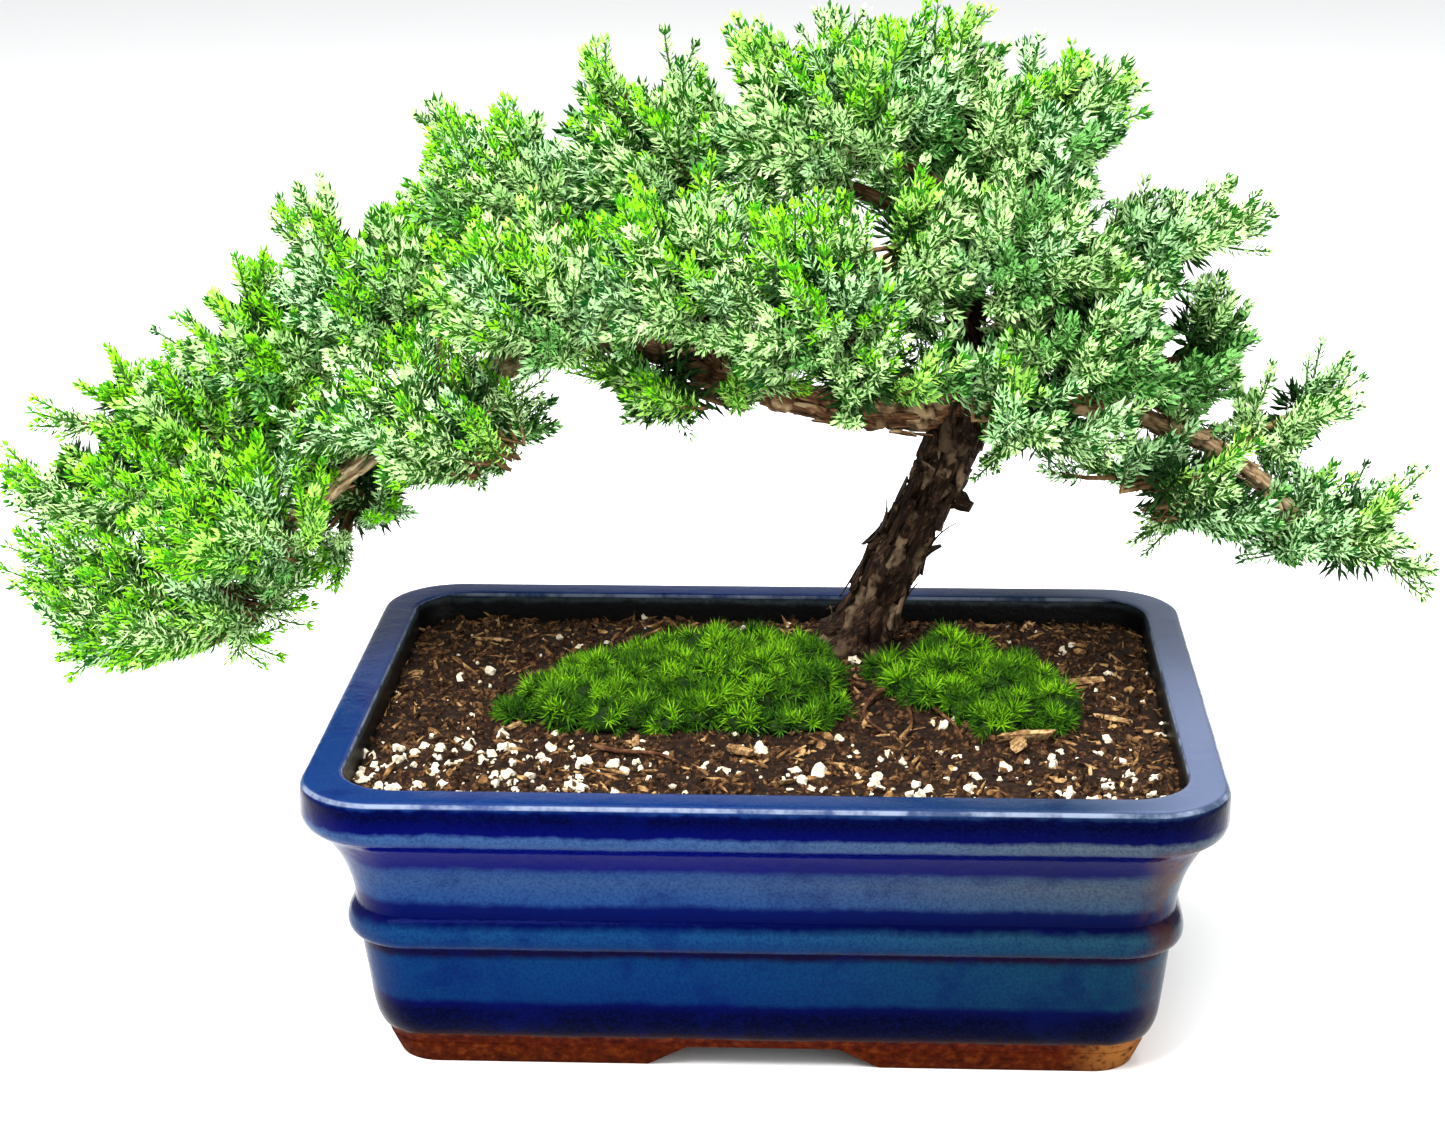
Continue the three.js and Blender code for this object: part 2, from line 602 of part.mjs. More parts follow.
// One mass: its twigs leave the stem's end by the golden angle, from the top down, and each
// ends in a spray that stands out of the core. A spray that would leave the space or touch a
// limb is left out.
function growMass(mass, space, stem, obstacles, seed) {
  const random = seeded(seed);
  const near = obstacles.filter((other) => other.owner !== mass.name);
  const isClear = (solid) => {
    const box = solid.boundingBox();
    return near.every((other) => (
      !boxesMeet(box, other.box) || solid.minGap(other.solid, 1) > clearance
    ));
  };
  const core = makeCore(random);
  const free = new Set(core.faces);
  const sprays = new Map();
  const start = random();
  for (let i = 0; i < spraysPerMass; i += 1) {
    const height = THREE.MathUtils.lerp(highestSpray, lowestSpray, (i + random() / 2) / spraysPerMass);
    const turned = (i + random() / 6) * goldenAngle + start;
    const level = Math.sqrt(1 - height * height);
    const direction = new THREE.Vector3(level * Math.cos(turned), level * Math.sin(turned), height);
    const facing = (face) => face.reduce((sum, corner) => sum + core.corners[corner].dot(direction), 0);
    const face = [...free].reduce((best, other) => (facing(other) > facing(best) ? other : best));
    const turns = Math.floor(3 * random());
    const corners = [0, 1, 2].map((corner) => face[(corner + turns) % 3]);
    const base = corners.map((corner) => core.corners[corner]);
    const spray = longestSpray(space, base, THREE.MathUtils.lerp(1, shortestReach, random()));
    if (spray && isClear(solidOf(loft([...spray.rings, Array(3).fill(spray.tip)])))) {
      free.delete(face);
      sprays.set(face, { ...spray, corners });
    }
  }
  let body = solidOf(massGeometry(space, core, sprays));
  body = space.walls.reduce((rest, wall) => (
    rest.trimByPlane(wall.normal.clone().negate().toArray(), -wall.offset)
  ), body);
  near.filter((other) => boxesMeet(body.boundingBox(), other.box)).forEach((other) => {
    body = body.subtract(other.sleeve);
  });
  return mainBody(body.add(stem.solid));
}

// The skin of a mass: the core's faces, with the sprays in place of the faces that carry them.
function massGeometry(space, core, sprays) {
  const positions = core.corners.flatMap((corner) => settle(space, corner).toArray());
  const faces = [];
  core.faces.forEach((face) => {
    const spray = sprays.get(face);
    if (!spray) {
      faces.push(...face);
      return;
    }
    let below = spray.corners;
    spray.rings.slice(1).forEach((ring) => {
      const above = ring.map((p) => positions.push(...p.toArray()) / 3 - 1);
      [0, 1, 2].forEach((j) => {
        const next = (j + 1) % 3;
        faces.push(below[j], below[next], above[next], below[j], above[next], above[j]);
      });
      below = above;
    });
    const tip = positions.push(...spray.tip.toArray()) / 3 - 1;
    [0, 1, 2].forEach((j) => faces.push(below[j], below[(j + 1) % 3], tip));
  });
  return indexedGeometry(positions, faces);
}

// The stem of a mass runs from its bough, 0.3 mm clear, to the heart of the mass.
function makeStem(mass, space, limbs, sleeves) {
  const parent = limbs.get(mass.from[0]);
  const root = parent.curve.getPointAt(mass.from[1]);
  const heart = space.middle.clone().lerp(root, 0.12);
  const stem = makeLimb(
    { name: mass.name, from: mass.from, tip: heart.toArray(), radii: stemRadii },
    limbs, 2, stemSides, sleeves);
  return { solid: stem.pieces[0].solid, sleeve: stem.sleeve, end: heart };
}

const bonsai = new THREE.Group();
const materials = Object.fromEntries(Object.entries(finishes).map(
  ([name, finish]) => [name, new THREE.MeshStandardMaterial({ ...finish, flatShading: true })]));

function addNode(name, solid, finish) {
  const mesh = new THREE.Mesh(geometryOf(solid), materials[finish]);
  mesh.name = name;
  bonsai.add(mesh);
}

addNode('pot', makePot(), 'glaze');
makeFeet().forEach((foot) => addNode(foot.name, foot.solid, 'clay'));
addNode('soil', makeSoil(), 'soil');

const limbs = new Map();
const trunk = makeTrunk();
limbs.set('trunk', trunk);
boughs.forEach((bough) => {
  const keepOff = [...limbs.values()].map((limb) => limb.sleeve);
  limbs.set(bough.name, makeLimb(bough, limbs, bough.steps, boughSides, keepOff));
});
limbs.forEach((limb) => limb.pieces.forEach((piece) => addNode(piece.name, piece.solid, 'bark')));

const raisedSoil = makeSoil(clearance);
Object.entries(mossHumps).forEach(([name, humps]) => {
  addNode(name, makeMoss(humps, [raisedSoil, trunk.sleeve]), 'moss');
});

const spaces = masses.map(makeSpace);
partSpaces(spaces);
const limbSleeves = [...limbs.values()].map((limb) => limb.sleeve);
const stems = masses.map((mass, i) => makeStem(mass, spaces[i], limbs, limbSleeves));
const obstacles = [
  ...[...limbs.values()].map((limb) => {
    const solid = wasm.Manifold.union(limb.pieces.map((piece) => piece.solid));
    return { owner: limb.name, solid, sleeve: limb.sleeve };
  }),
  ...stems.map((stem, i) => ({ owner: masses[i].name, solid: stem.solid, sleeve: stem.sleeve })),
].map((obstacle) => ({ ...obstacle, box: obstacle.sleeve.boundingBox() }));
masses.forEach((mass, i) => {
  addNode(mass.name, growMass(mass, spaces[i], stems[i], obstacles, i + 1), 'needles');
});

// The origin is under the middle of the whole plant's outline, on the floor.
const reach = new THREE.Box3().setFromObject(bonsai);
bonsai.position.set(-(reach.min.x + reach.max.x) / 2, -(reach.min.y + reach.max.y) / 2, 0);

export default bonsai;
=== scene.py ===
import math
import random

import bmesh
import bpy
import numpy as np
from mathutils import Matrix, Vector, noise


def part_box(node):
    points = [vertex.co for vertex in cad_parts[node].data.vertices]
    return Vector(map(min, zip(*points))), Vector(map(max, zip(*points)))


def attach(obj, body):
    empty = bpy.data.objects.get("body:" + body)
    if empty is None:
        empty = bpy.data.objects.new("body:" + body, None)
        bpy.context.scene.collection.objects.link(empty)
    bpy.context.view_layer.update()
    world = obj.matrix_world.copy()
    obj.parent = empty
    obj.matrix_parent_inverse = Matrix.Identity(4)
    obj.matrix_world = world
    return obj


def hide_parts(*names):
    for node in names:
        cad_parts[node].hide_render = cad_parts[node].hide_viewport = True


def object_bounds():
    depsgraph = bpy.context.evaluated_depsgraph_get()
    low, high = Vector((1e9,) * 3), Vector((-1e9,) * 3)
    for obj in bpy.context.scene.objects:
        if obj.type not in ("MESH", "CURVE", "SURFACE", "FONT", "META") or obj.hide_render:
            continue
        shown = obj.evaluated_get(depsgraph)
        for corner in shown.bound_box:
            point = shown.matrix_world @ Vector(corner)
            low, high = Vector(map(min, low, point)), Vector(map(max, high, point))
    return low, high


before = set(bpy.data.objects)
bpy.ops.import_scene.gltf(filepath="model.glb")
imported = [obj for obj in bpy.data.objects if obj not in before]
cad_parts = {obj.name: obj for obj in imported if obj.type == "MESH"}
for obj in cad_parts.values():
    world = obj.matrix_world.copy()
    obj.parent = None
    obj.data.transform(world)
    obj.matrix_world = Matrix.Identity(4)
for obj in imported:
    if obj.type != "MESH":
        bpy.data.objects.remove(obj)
cadLow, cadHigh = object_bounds()

# everything below is laid out in millimetres from the middle of the pot, on the floor
potLow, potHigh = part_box("pot")
potMiddle = Vector(((potLow.x + potHigh.x) / 2, (potLow.y + potHigh.y) / 2, 0))
mm = 0.001
goldenAngle = math.pi * (3 - math.sqrt(5))
up = np.array((0.0, 0.0, 1.0))


def place(point):
    return potMiddle + Vector(point) * mm


def lerp(a, b, share):
    return a + (b - a) * share


def smooth(low, high, value):
    share = np.clip((value - low) / (high - low), 0, 1)
    return share * share * (3 - 2 * share)


def unit(vector):
    return vector / (np.linalg.norm(vector, axis=-1, keepdims=True) + 1e-12)


# a smooth path through its stops; a fourth value in a stop is a radius and rides along
def pathThrough(stops, perSpan=24):
    stops = np.array(stops, float)
    ends = np.vstack([2 * stops[0] - stops[1], stops, 2 * stops[-1] - stops[-2]])
    t = np.linspace(0, 1, perSpan, endpoint=False)[:, None]
    spans = []
    for before, start, stop, after in zip(ends, ends[1:], ends[2:], ends[3:]):
        leave, arrive = (stop - before) / 2, (after - start) / 2
        rise = stop - start
        spans.append(start + leave * t + (3 * rise - 2 * leave - arrive) * t ** 2
                     + (leave + arrive - 2 * rise) * t ** 3)
    return np.vstack([*spans, stops[-1:]])


def pathLength(path):
    return np.linalg.norm(np.diff(path[:, :3], axis=0), axis=1).sum()


def alongPath(path, shares):
    steps = np.linalg.norm(np.diff(path[:, :3], axis=0), axis=1)
    lengths = np.concatenate([[0], np.cumsum(steps)])
    at = np.asarray(shares, float) * lengths[-1]
    return np.stack([np.interp(at, lengths, column) for column in path.T], axis=-1)


def bentPath(start, control, end, steps):
    t = np.linspace(0, 1, steps)[:, None]
    return start * (1 - t) ** 2 + control * 2 * t * (1 - t) + end * t ** 2


# faces between rings of equally many points, closed at both ends; the points of a ring run against the
# clock, seen from the end of the last ring
def skin(rings, sides, first=0):
    faces = []
    for i in range(rings - 1):
        low = first + i * sides
        for j in range(sides):
            k = (j + 1) % sides
            faces.append((low + j, low + k, low + sides + k, low + sides + j))
    faces.append(tuple(first + j for j in reversed(range(sides))))
    last = first + (rings - 1) * sides
    faces.append(tuple(last + j for j in range(sides)))
    return faces


def linked(name, data):
    made = bpy.data.objects.new(name, data)
    bpy.context.scene.collection.objects.link(made)
    return made


def newMesh(name, points, edges, faces, attributes=None):
    mesh = bpy.data.meshes.new(name)
    mesh.from_pydata(points, edges, faces)
    for key, values in (attributes or {}).items():
        values = np.array(values, np.float32)
        flat = values.ndim == 1
        layer = mesh.attributes.new(key, "FLOAT" if flat else "FLOAT_VECTOR", "POINT")
        layer.data.foreach_set("value" if flat else "vector", values.ravel())
    return mesh


def newObject(name, points, faces, materials=(), attributes=None, slots=None, shadeSmooth=True):
    mesh = newMesh(name, [place(point) for point in points], [], faces, attributes)
    for material in materials:
        mesh.materials.append(material)
    if slots is not None:
        mesh.polygons.foreach_set("material_index", np.array(slots, np.int32))
    mesh.polygons.foreach_set("use_smooth", np.full(len(mesh.polygons), shadeSmooth))
    mesh.update()
    return linked(name, mesh)


def settled(source, name=None):
    # the object as its modifiers leave it, as a plain mesh
    bpy.context.view_layer.update()
    graph = bpy.context.evaluated_depsgraph_get()
    mesh = bpy.data.meshes.new_from_object(source.evaluated_get(graph), depsgraph=graph)
    return linked(name or source.name, mesh)


def drop(*objects):
    for unwanted in objects:
        bpy.data.objects.remove(unwanted)


def joined(name, *objects):
    # several plain meshes as one piece, their materials kept
    with bpy.context.temp_override(active_object=objects[0], selected_editable_objects=list(objects)):
        bpy.ops.object.join()
    objects[0].name = name
    return objects[0]


def keep(piece, slotName, *nodes):
    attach(piece, "root")
    if nodes:
        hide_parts(*nodes)


def newMaterial(name, colour, roughness, gloss=0.15, **sockets):
    material = bpy.data.materials.new(name)
    material.use_nodes = True
    material.diffuse_color = (*colour, 1)
    shader = material.node_tree.nodes["Principled BSDF"]
    wire(shader, {"Base Color": (*colour, 1), "Roughness": roughness, "Specular IOR Level": gloss, **sockets})
    return material, shader


def addNode(tree, kind, values=None, **settings):
    node = tree.nodes.new(kind)
    for key, value in settings.items():
        setattr(node, key, value)
    wire(node, values or {})
    return node


def wire(node, values):
    # sets each input that is a plain value, and links each that comes from another node
    for key, value in values.items():
        if isinstance(value, bpy.types.NodeSocket):
            node.id_data.links.new(value, node.inputs[key])
        else:
            node.inputs[key].default_value = value


def treeOf(*values):
    return next(value.id_data for value in values if isinstance(value, bpy.types.NodeSocket))


def calc(operation, a, b=0.0):
    return addNode(treeOf(a, b), "ShaderNodeMath", {0: a, 1: b}, operation=operation).outputs[0]


def times(a, b):
    return calc("MULTIPLY", a, b)


def spread(value, low, high, to=(0, 1)):
    # a soft step of a value between two limits
    return addNode(treeOf(value), "ShaderNodeMapRange", {0: value, 1: low, 2: high, 3: to[0], 4: to[1]},
                   interpolation_type="SMOOTHSTEP").outputs[0]


def noiseOf(at, scale, detail=3.0, roughness=0.55, distortion=0.0):
    return addNode(treeOf(at), "ShaderNodeTexNoise", {
        "Vector": at, "Scale": scale, "Detail": detail, "Roughness": roughness,
        "Distortion": distortion}).outputs["Fac"]


def mixOf(share, a, b, blend="MIX"):
    # two colours, each a socket or three numbers
    a, b = (value if isinstance(value, bpy.types.NodeSocket) else (*value, 1) for value in (a, b))
    return addNode(treeOf(share, a, b), "ShaderNodeMix", {0: share, 6: a, 7: b}, data_type="RGBA",
                   blend_type=blend).outputs[2]


def rampOf(value, stops):
    node = addNode(treeOf(value), "ShaderNodeValToRGB", {0: value})
    ramp = node.color_ramp
    for i, (at, colour) in enumerate(stops):
        stop = ramp.elements[i] if i < 2 else ramp.elements.new(at)
        stop.position = at
        stop.color = (*colour, 1)
    return node.outputs[0]


def bumpOf(height, distance, strength=1.0, **normal):
    values = {"Height": height, "Distance": distance * mm, "Strength": strength, **normal}
    return addNode(treeOf(height), "ShaderNodeBump", values).outputs[0]


def axesOf(at):
    return addNode(treeOf(at), "ShaderNodeSeparateXYZ", {0: at}).outputs


def placeInMm(shader):
    # the object's own place, in millimetres from the middle of the pot
    texture = addNode(shader.id_data, "ShaderNodeTexCoord")
    return addNode(shader.id_data, "ShaderNodeMapping", {
        "Vector": texture.outputs["Object"], "Location": -potMiddle / mm, "Scale": (1 / mm,) * 3}).outputs[0]


def attributeOf(shader, name, output="Fac"):
    return addNode(shader.id_data, "ShaderNodeAttribute", attribute_name=name).outputs[output]


def mottled(name, stops, pattern, roughness, grain=None, gloss=0.15):
    # colours dealt out by a noise, over a fine grain with a depth of its own
    material, shader = newMaterial(name, stops[1][1], roughness, gloss)
    at = placeInMm(shader)
    wire(shader, {"Base Color": rampOf(noiseOf(at, *pattern), stops)})
    if grain:
        *fine, depth = grain
        wire(shader, {"Normal": bumpOf(noiseOf(at, *fine), depth)})
    return material


def newTree(name, inputs):
    tree = bpy.data.node_groups.new(name, "GeometryNodeTree")
    tree.interface.new_socket("Geometry", in_out="INPUT", socket_type="NodeSocketGeometry")
    tree.interface.new_socket("Geometry", in_out="OUTPUT", socket_type="NodeSocketGeometry")
    for label, kind, value in inputs:
        socket = tree.interface.new_socket(label, in_out="INPUT", socket_type="NodeSocket" + kind)
        if value is not None:
            socket.default_value = value
    given = tree.nodes.new("NodeGroupInput").outputs
    return tree, given


def endTree(tree, geometry, *finishes):
    # every tree ends in real faces with their materials
    solid = addNode(tree, "GeometryNodeRealizeInstances", {"Geometry": geometry}).outputs[0]
    for material, *selection in finishes:
        values = {"Geometry": solid, "Material": material}
        if selection:
            values["Selection"] = selection[0]
        solid = addNode(tree, "GeometryNodeSetMaterial", values).outputs[0]
    tree.links.new(solid, tree.nodes.new("NodeGroupOutput").inputs[0])
    return tree


def namedValue(tree, name, kind="FLOAT"):
    node = addNode(tree, "GeometryNodeInputNamedAttribute", {"Name": name}, data_type=kind)
    return node.outputs[0]


def randomOf(low, high, seed, offset):
    # a number, or a vector where the limits are vectors
    vector = isinstance(low, tuple)
    inputs = (0, 1) if vector else (2, 3)
    values = {inputs[0]: low, inputs[1]: high, 8: calc("ADD", seed, offset)}
    dataType = "FLOAT_VECTOR" if vector else "FLOAT"
    node = addNode(treeOf(seed), "FunctionNodeRandomValue", values, data_type=dataType)
    return node.outputs[0 if vector else 1]


def scaledBy(vector, scale):
    node = addNode(treeOf(vector), "ShaderNodeVectorMath", {0: vector, 3: scale}, operation="SCALE")
    return node.outputs[0]


def spinOf(angle):
    return addNode(treeOf(angle), "FunctionNodeAxisAngleToRotation", {1: angle}).outputs[0]


def turnOf(angles):
    return addNode(treeOf(angles), "FunctionNodeEulerToRotation", {0: angles}).outputs[0]


def turnedBy(rotation, *more):
    for turn in more:
        rotation = addNode(treeOf(rotation), "FunctionNodeRotateRotation", {0: rotation, 1: turn},
                           rotation_space="LOCAL").outputs[0]
    return rotation


def grown(source, tree, name, values):
    modifier = source.modifiers.new("grow", "NODES")
    modifier.node_group = tree
    for item in tree.interface.items_tree:
        if item.in_out == "INPUT" and item.name in values:
            modifier[item.identifier] = values[item.name]
    made = settled(source, name)
    source.modifiers.remove(modifier)
    return made


view = {
    "stand": (23, -649, 310),
    "pitch": 17.97, "yaw": -3.03, "roll": -0.45,
    "focal": 2926 / 1445,  # focal length over the picture's width
    "sensor": 36,
}
studio = {
    "sky": (0.97, 0.98, 1.0), "skyStrength": 0.85,
    "floor": (0.9, 0.9, 0.89), "floorReach": 4000,
    "lamps": [
        # name, place, aim, size, watts
        ("key", (-380, -500, 950), (0, 0, 120), 0.5, 24),
        ("fill", (650, -600, 500), (0, 0, 110), 0.9, 5),
        ("top", (100, 250, 1000), (0, 0, 120), 0.8, 15),
    ],
}


def makeCamera():
    pitch, yaw, roll = (math.radians(view[key]) for key in ("pitch", "yaw", "roll"))
    ahead = Vector((math.sin(yaw) * math.cos(pitch), math.cos(yaw) * math.cos(pitch), -math.sin(pitch)))
    level = Vector((math.cos(yaw), -math.sin(yaw), 0))
    upright = level.cross(ahead)
    right = math.cos(roll) * level + math.sin(roll) * upright
    over = math.cos(roll) * upright - math.sin(roll) * level
    data = bpy.data.cameras.new("camera")
    data.sensor_width = view["sensor"]
    data.lens = view["sensor"] * view["focal"]
    camera = linked("camera", data)
    turn = Matrix((right, over, -ahead)).transposed().to_4x4()
    camera.matrix_world = Matrix.Translation(place(view["stand"])) @ turn
    bpy.context.scene.camera = camera


def makeStudio():
    world = bpy.data.worlds.new("studio")
    bpy.context.scene.world = world
    bpy.context.scene.view_settings.view_transform = "Standard"
    world.use_nodes = True
    sky = world.node_tree.nodes["Background"]
    wire(sky, {"Color": (*studio["sky"], 1), "Strength": studio["skyStrength"]})
    for name, stand, aim, size, watts in studio["lamps"]:
        lamp = bpy.data.lights.new(name, "AREA")
        lamp.size = size
        lamp.energy = watts
        holder = linked(name, lamp)
        holder.location = place(stand)
        holder.rotation_euler = (place(aim) - place(stand)).to_track_quat("-Z", "Y").to_euler()
    paper = newMaterial("floorPaper", studio["floor"], 0.8, 0.5)[0]
    reach = studio["floorReach"]
    corners = [(x * reach, y * reach, 0) for x, y in ((-1, -1), (1, -1), (1, 1), (-1, 1))]
    newObject("floor", corners, [(0, 1, 2, 3)], [paper])


pot = {
    "length": 203, "width": 152, "height": 70,
    "rim": 8.7, "rimCorner": 18, "innerCorner": 9, "cornerShrink": 0.45,
    "cornerSteps": 12, "longSteps": 44, "shortSteps": 32, "curveSteps": 8,
    # inset from the rim's face and height, from the foot up
    "panel": [(16.1, 5.5), (15.4, 7.2), (14.2, 9), (13.1, 12.5), (12.4, 18), (10.9, 31.2)],
    "belt": {"out": 7.7, "from": 31.2, "swell": 37.6, "inset": 10.2, "top": 38.9},
    "neck": {"inset": 10, "from": 42, "bendInset": 8.2, "bend": 52, "top": 58.4},
    "lip": {"under": 3, "bend": 0.5, "bendHeight": 59.2, "from": 62.5},
    "arris": {"from": 67.6, "inset": 2.4}, "innerArris": 1.2,
    "inside": [(19.2, 12), (16.8, 34), (15.4, 44), (11.8, 55), (9.4, 61.5)],
    "foot": {"height": 5.5, "inset": 16.1, "lean": 2.2, "band": 11,
             "front": (34, 52), "side": (24, 40), "softened": 0.55},
    "drain": {"radius": 6, "fromMiddle": 45},
    "innerHeights": (68.8, 66, 63, 61.5, 58, 55, 50, 44, 34, 22, 12),
    "unevenness": 0.16,  # a hand-made wall is never quite flat
}
clay = {
    "dark": (0.018, 0.002, 0.0003), "mid": (0.05, 0.006, 0.0005), "pale": (0.1, 0.02, 0.003),
    "brighterEnd": (0.23, 0.09, 0.02), "brighterEndAlong": (66, 80), "brighterEndShare": 0.85,  # brighter, at the right end
}
glaze = {
    # height in shares of the pot's, and colour, from the foot up: the glaze's own bands, with a painted
    # reflection in the paler blue over the lower panel, painted shade in the navy under the lip, and a
    # painted highlight along the paler top edge of the rim
    "bands": [
        (0.12, (0.0001, 0.0001, 0.002)), (0.215, (0.0001, 0.0001, 0.008)), (0.245, (0.0002, 0.0006, 0.03)),
        (0.265, (0.001, 0.015, 0.065)), (0.41, (0.0015, 0.021, 0.078)), (0.432, (0.003, 0.001, 0.008)),
        (0.452, (0.003, 0.002, 0.012)), (0.47, (0.002, 0.02, 0.075)), (0.52, (0.004, 0.03, 0.09)),
        (0.545, (0.0004, 0.001, 0.03)), (0.597, (0.0006, 0.003, 0.05)), (0.62, (0.01, 0.038, 0.128)),
        (0.7, (0.018, 0.047, 0.124)), (0.73, (0.012, 0.038, 0.12)), (0.755, (0.0004, 0.0012, 0.075)),
        (0.845, (0.0003, 0.001, 0.07)), (0.862, (0.018, 0.05, 0.135)), (0.888, (0.022, 0.056, 0.14)),
        (0.902, (0.0003, 0.0006, 0.05)), (0.93, (0.0002, 0.0003, 0.03)), (0.955, (0.0001, 0.0001, 0.008)),
        (0.972, (0.0002, 0.0004, 0.02)), (0.985, (0.004, 0.02, 0.09)),
    ],
    "waves": (2.0, 1.3),  # how far the bands wander, broad and fine
    "specks": (0.0006, 0.003, 0.045), "clouds": (0.0004, 0.002, 0.05), "greyer": (2.1, 1.12, 0.56),
    # the pale line along the rim's front arris and the paler grey on the rim's top at the right end are
    # painted highlights
    "thin": (0.16, 0.19, 0.26), "rimTopHighlight": (0.09, 0.11, 0.18), "edge": (0.012, 0.003, 0.002),
    "worn": ((0.004, 0.001, 0.001), (0.07, 0.024, 0.012)),
    # how much of each shows, and where along the wall the greyer blue begins and is full
    "speckShare": 0.42, "cloudShare": 0.5, "topHighlightShare": 0.8, "edgeShare": 0.85, "greyerAlong": (-30, 85),
    # heights where the painted highlight along the front arris comes and goes, then where the painted
    # highlight on the rim's top begins, in height and along
    "arrisHighlightFrom": (68.7, 69.0), "arrisHighlightTo": (69.75, 69.5), "topHighlightFrom": (69.5, 69.9), "topHighlightAlong": (60, 98),
    # the corners, along and across, with more wear further right and under the rim
    "cornerAlong": (80, 90), "cornerAcross": (55, 65), "wornAlong": (-60, 70), "wornBelow": (62, 59),
    "from": (8.1, 8.5), "edgeUpTo": (10.2, 8.4),  # where it begins over the clay, and the brown line's reach
    # the inside: colours in shares of this height, how far their edges wander, and a stain in places
    "innerTop": 75, "innerWander": 3, "stain": (0.005, 0.0035, 0.002), "stainShare": 0.4,
    "innerBands": [
        (0.86, (0.002, 0.002, 0.0015)), (0.915, (0.002, 0.0025, 0.004)), (0.93, (0.03, 0.045, 0.05)),
        (0.945, (0.002, 0.006, 0.03)), (0.985, (0.003, 0.012, 0.07))],
}


def roundedRing(halfX, halfY, corner, z):
    ring = []
    for quarter in range(4):
        sideX = 1 if quarter in (0, 3) else -1
        sideY = 1 if quarter < 2 else -1
        middle = np.array((sideX * (halfX - corner), sideY * (halfY - corner)))
        for step in range(pot["cornerSteps"] + 1):
            angle = (quarter + step / pot["cornerSteps"]) * math.pi / 2
            ring.append(middle + corner * np.array((math.cos(angle), math.sin(angle))))
    perCorner = pot["cornerSteps"] + 1
    filled = []
    for quarter in range(4):
        arc = ring[quarter * perCorner:(quarter + 1) * perCorner]
        following = ring[(quarter + 1) * perCorner % len(ring)]
        steps = pot["longSteps"] if quarter % 2 == 0 else pot["shortSteps"]
        side = [lerp(arc[-1], following, i / steps) for i in range(1, steps)]
        filled += arc + side
    return np.array([(x, y, z) for x, y in filled])


def outerRing(inset, z):
    return roundedRing(pot["length"] / 2 - inset, pot["width"] / 2 - inset,
                       pot["rimCorner"] - pot["cornerShrink"] * inset, z)


def innerRing(z, gap=0.0):
    wall = [*pot["inside"], (pot["rim"], pot["height"] - pot["innerArris"])]
    inset = gap + np.interp(z, [height for _, height in wall], [side for side, _ in wall])
    return roundedRing(pot["length"] / 2 - inset, pot["width"] / 2 - inset, pot["innerCorner"], z)


def potProfile():
    belt, neck, lip, arris = pot["belt"], pot["neck"], pot["lip"], pot["arris"]
    t = np.linspace(0, 1, pot["curveSteps"] + 1)[1:, None]
    rows = list(pathThrough(pot["panel"], 4))

    def curve(*stops):
        stops = [rows[-1], *map(np.array, stops)]
        if len(stops) == 4:
            weights = [(1 - t) ** 3, 3 * t * (1 - t) ** 2, 3 * t * t * (1 - t), t ** 3]
        else:
            weights = [(1 - t) ** 2, 2 * t * (1 - t), t * t]
        rows.extend(sum(weight * stop for weight, stop in zip(weights, stops)))

    curve((belt["out"], belt["from"]), (belt["out"], belt["swell"]), (belt["inset"], belt["top"]))
    rows.append(np.array((neck["inset"], neck["from"])))
    curve((neck["bendInset"], neck["bend"]), (lip["under"], neck["top"]))
    curve((lip["bend"], lip["bendHeight"]), (0, lip["from"]))
    rows.append(np.array((0, lerp(lip["from"], arris["from"], 0.5))))
    rows.append(np.array((0, arris["from"])))
    curve((0, pot["height"]), (arris["inset"], pot["height"]))
    rows.append(np.array((pot["rim"] - pot["innerArris"], pot["height"])))
    return rows


def uneven(points, amount, seed):
    moved = []
    for x, y, z in points:
        at = Vector((x * 0.02 + seed, y * 0.02, z * 0.045))
        fine = Vector((x * 0.13, y * 0.13 + seed, z * 0.2))
        dent = amount * (noise.noise(at) - 0.5 + 0.35 * noise.noise(fine))
        moved.append(np.array((x, y, z)) + dent * np.array((np.sign(x) * (abs(x) > 60), np.sign(y), 0)))
    return moved


def clayColour(at):
    grain = noiseOf(at, 0.5, 5)
    body = rampOf(grain, [(0.3, clay["dark"]), (0.52, clay["mid"]), (0.75, clay["pale"])])
    # the clay turns a brighter orange towards the right end
    brighterEnd = times(spread(axesOf(at)[0], *clay["brighterEndAlong"]), spread(grain, 0.25, 0.55))
    return mixOf(times(brighterEnd, clay["brighterEndShare"]), body, clay["brighterEnd"])


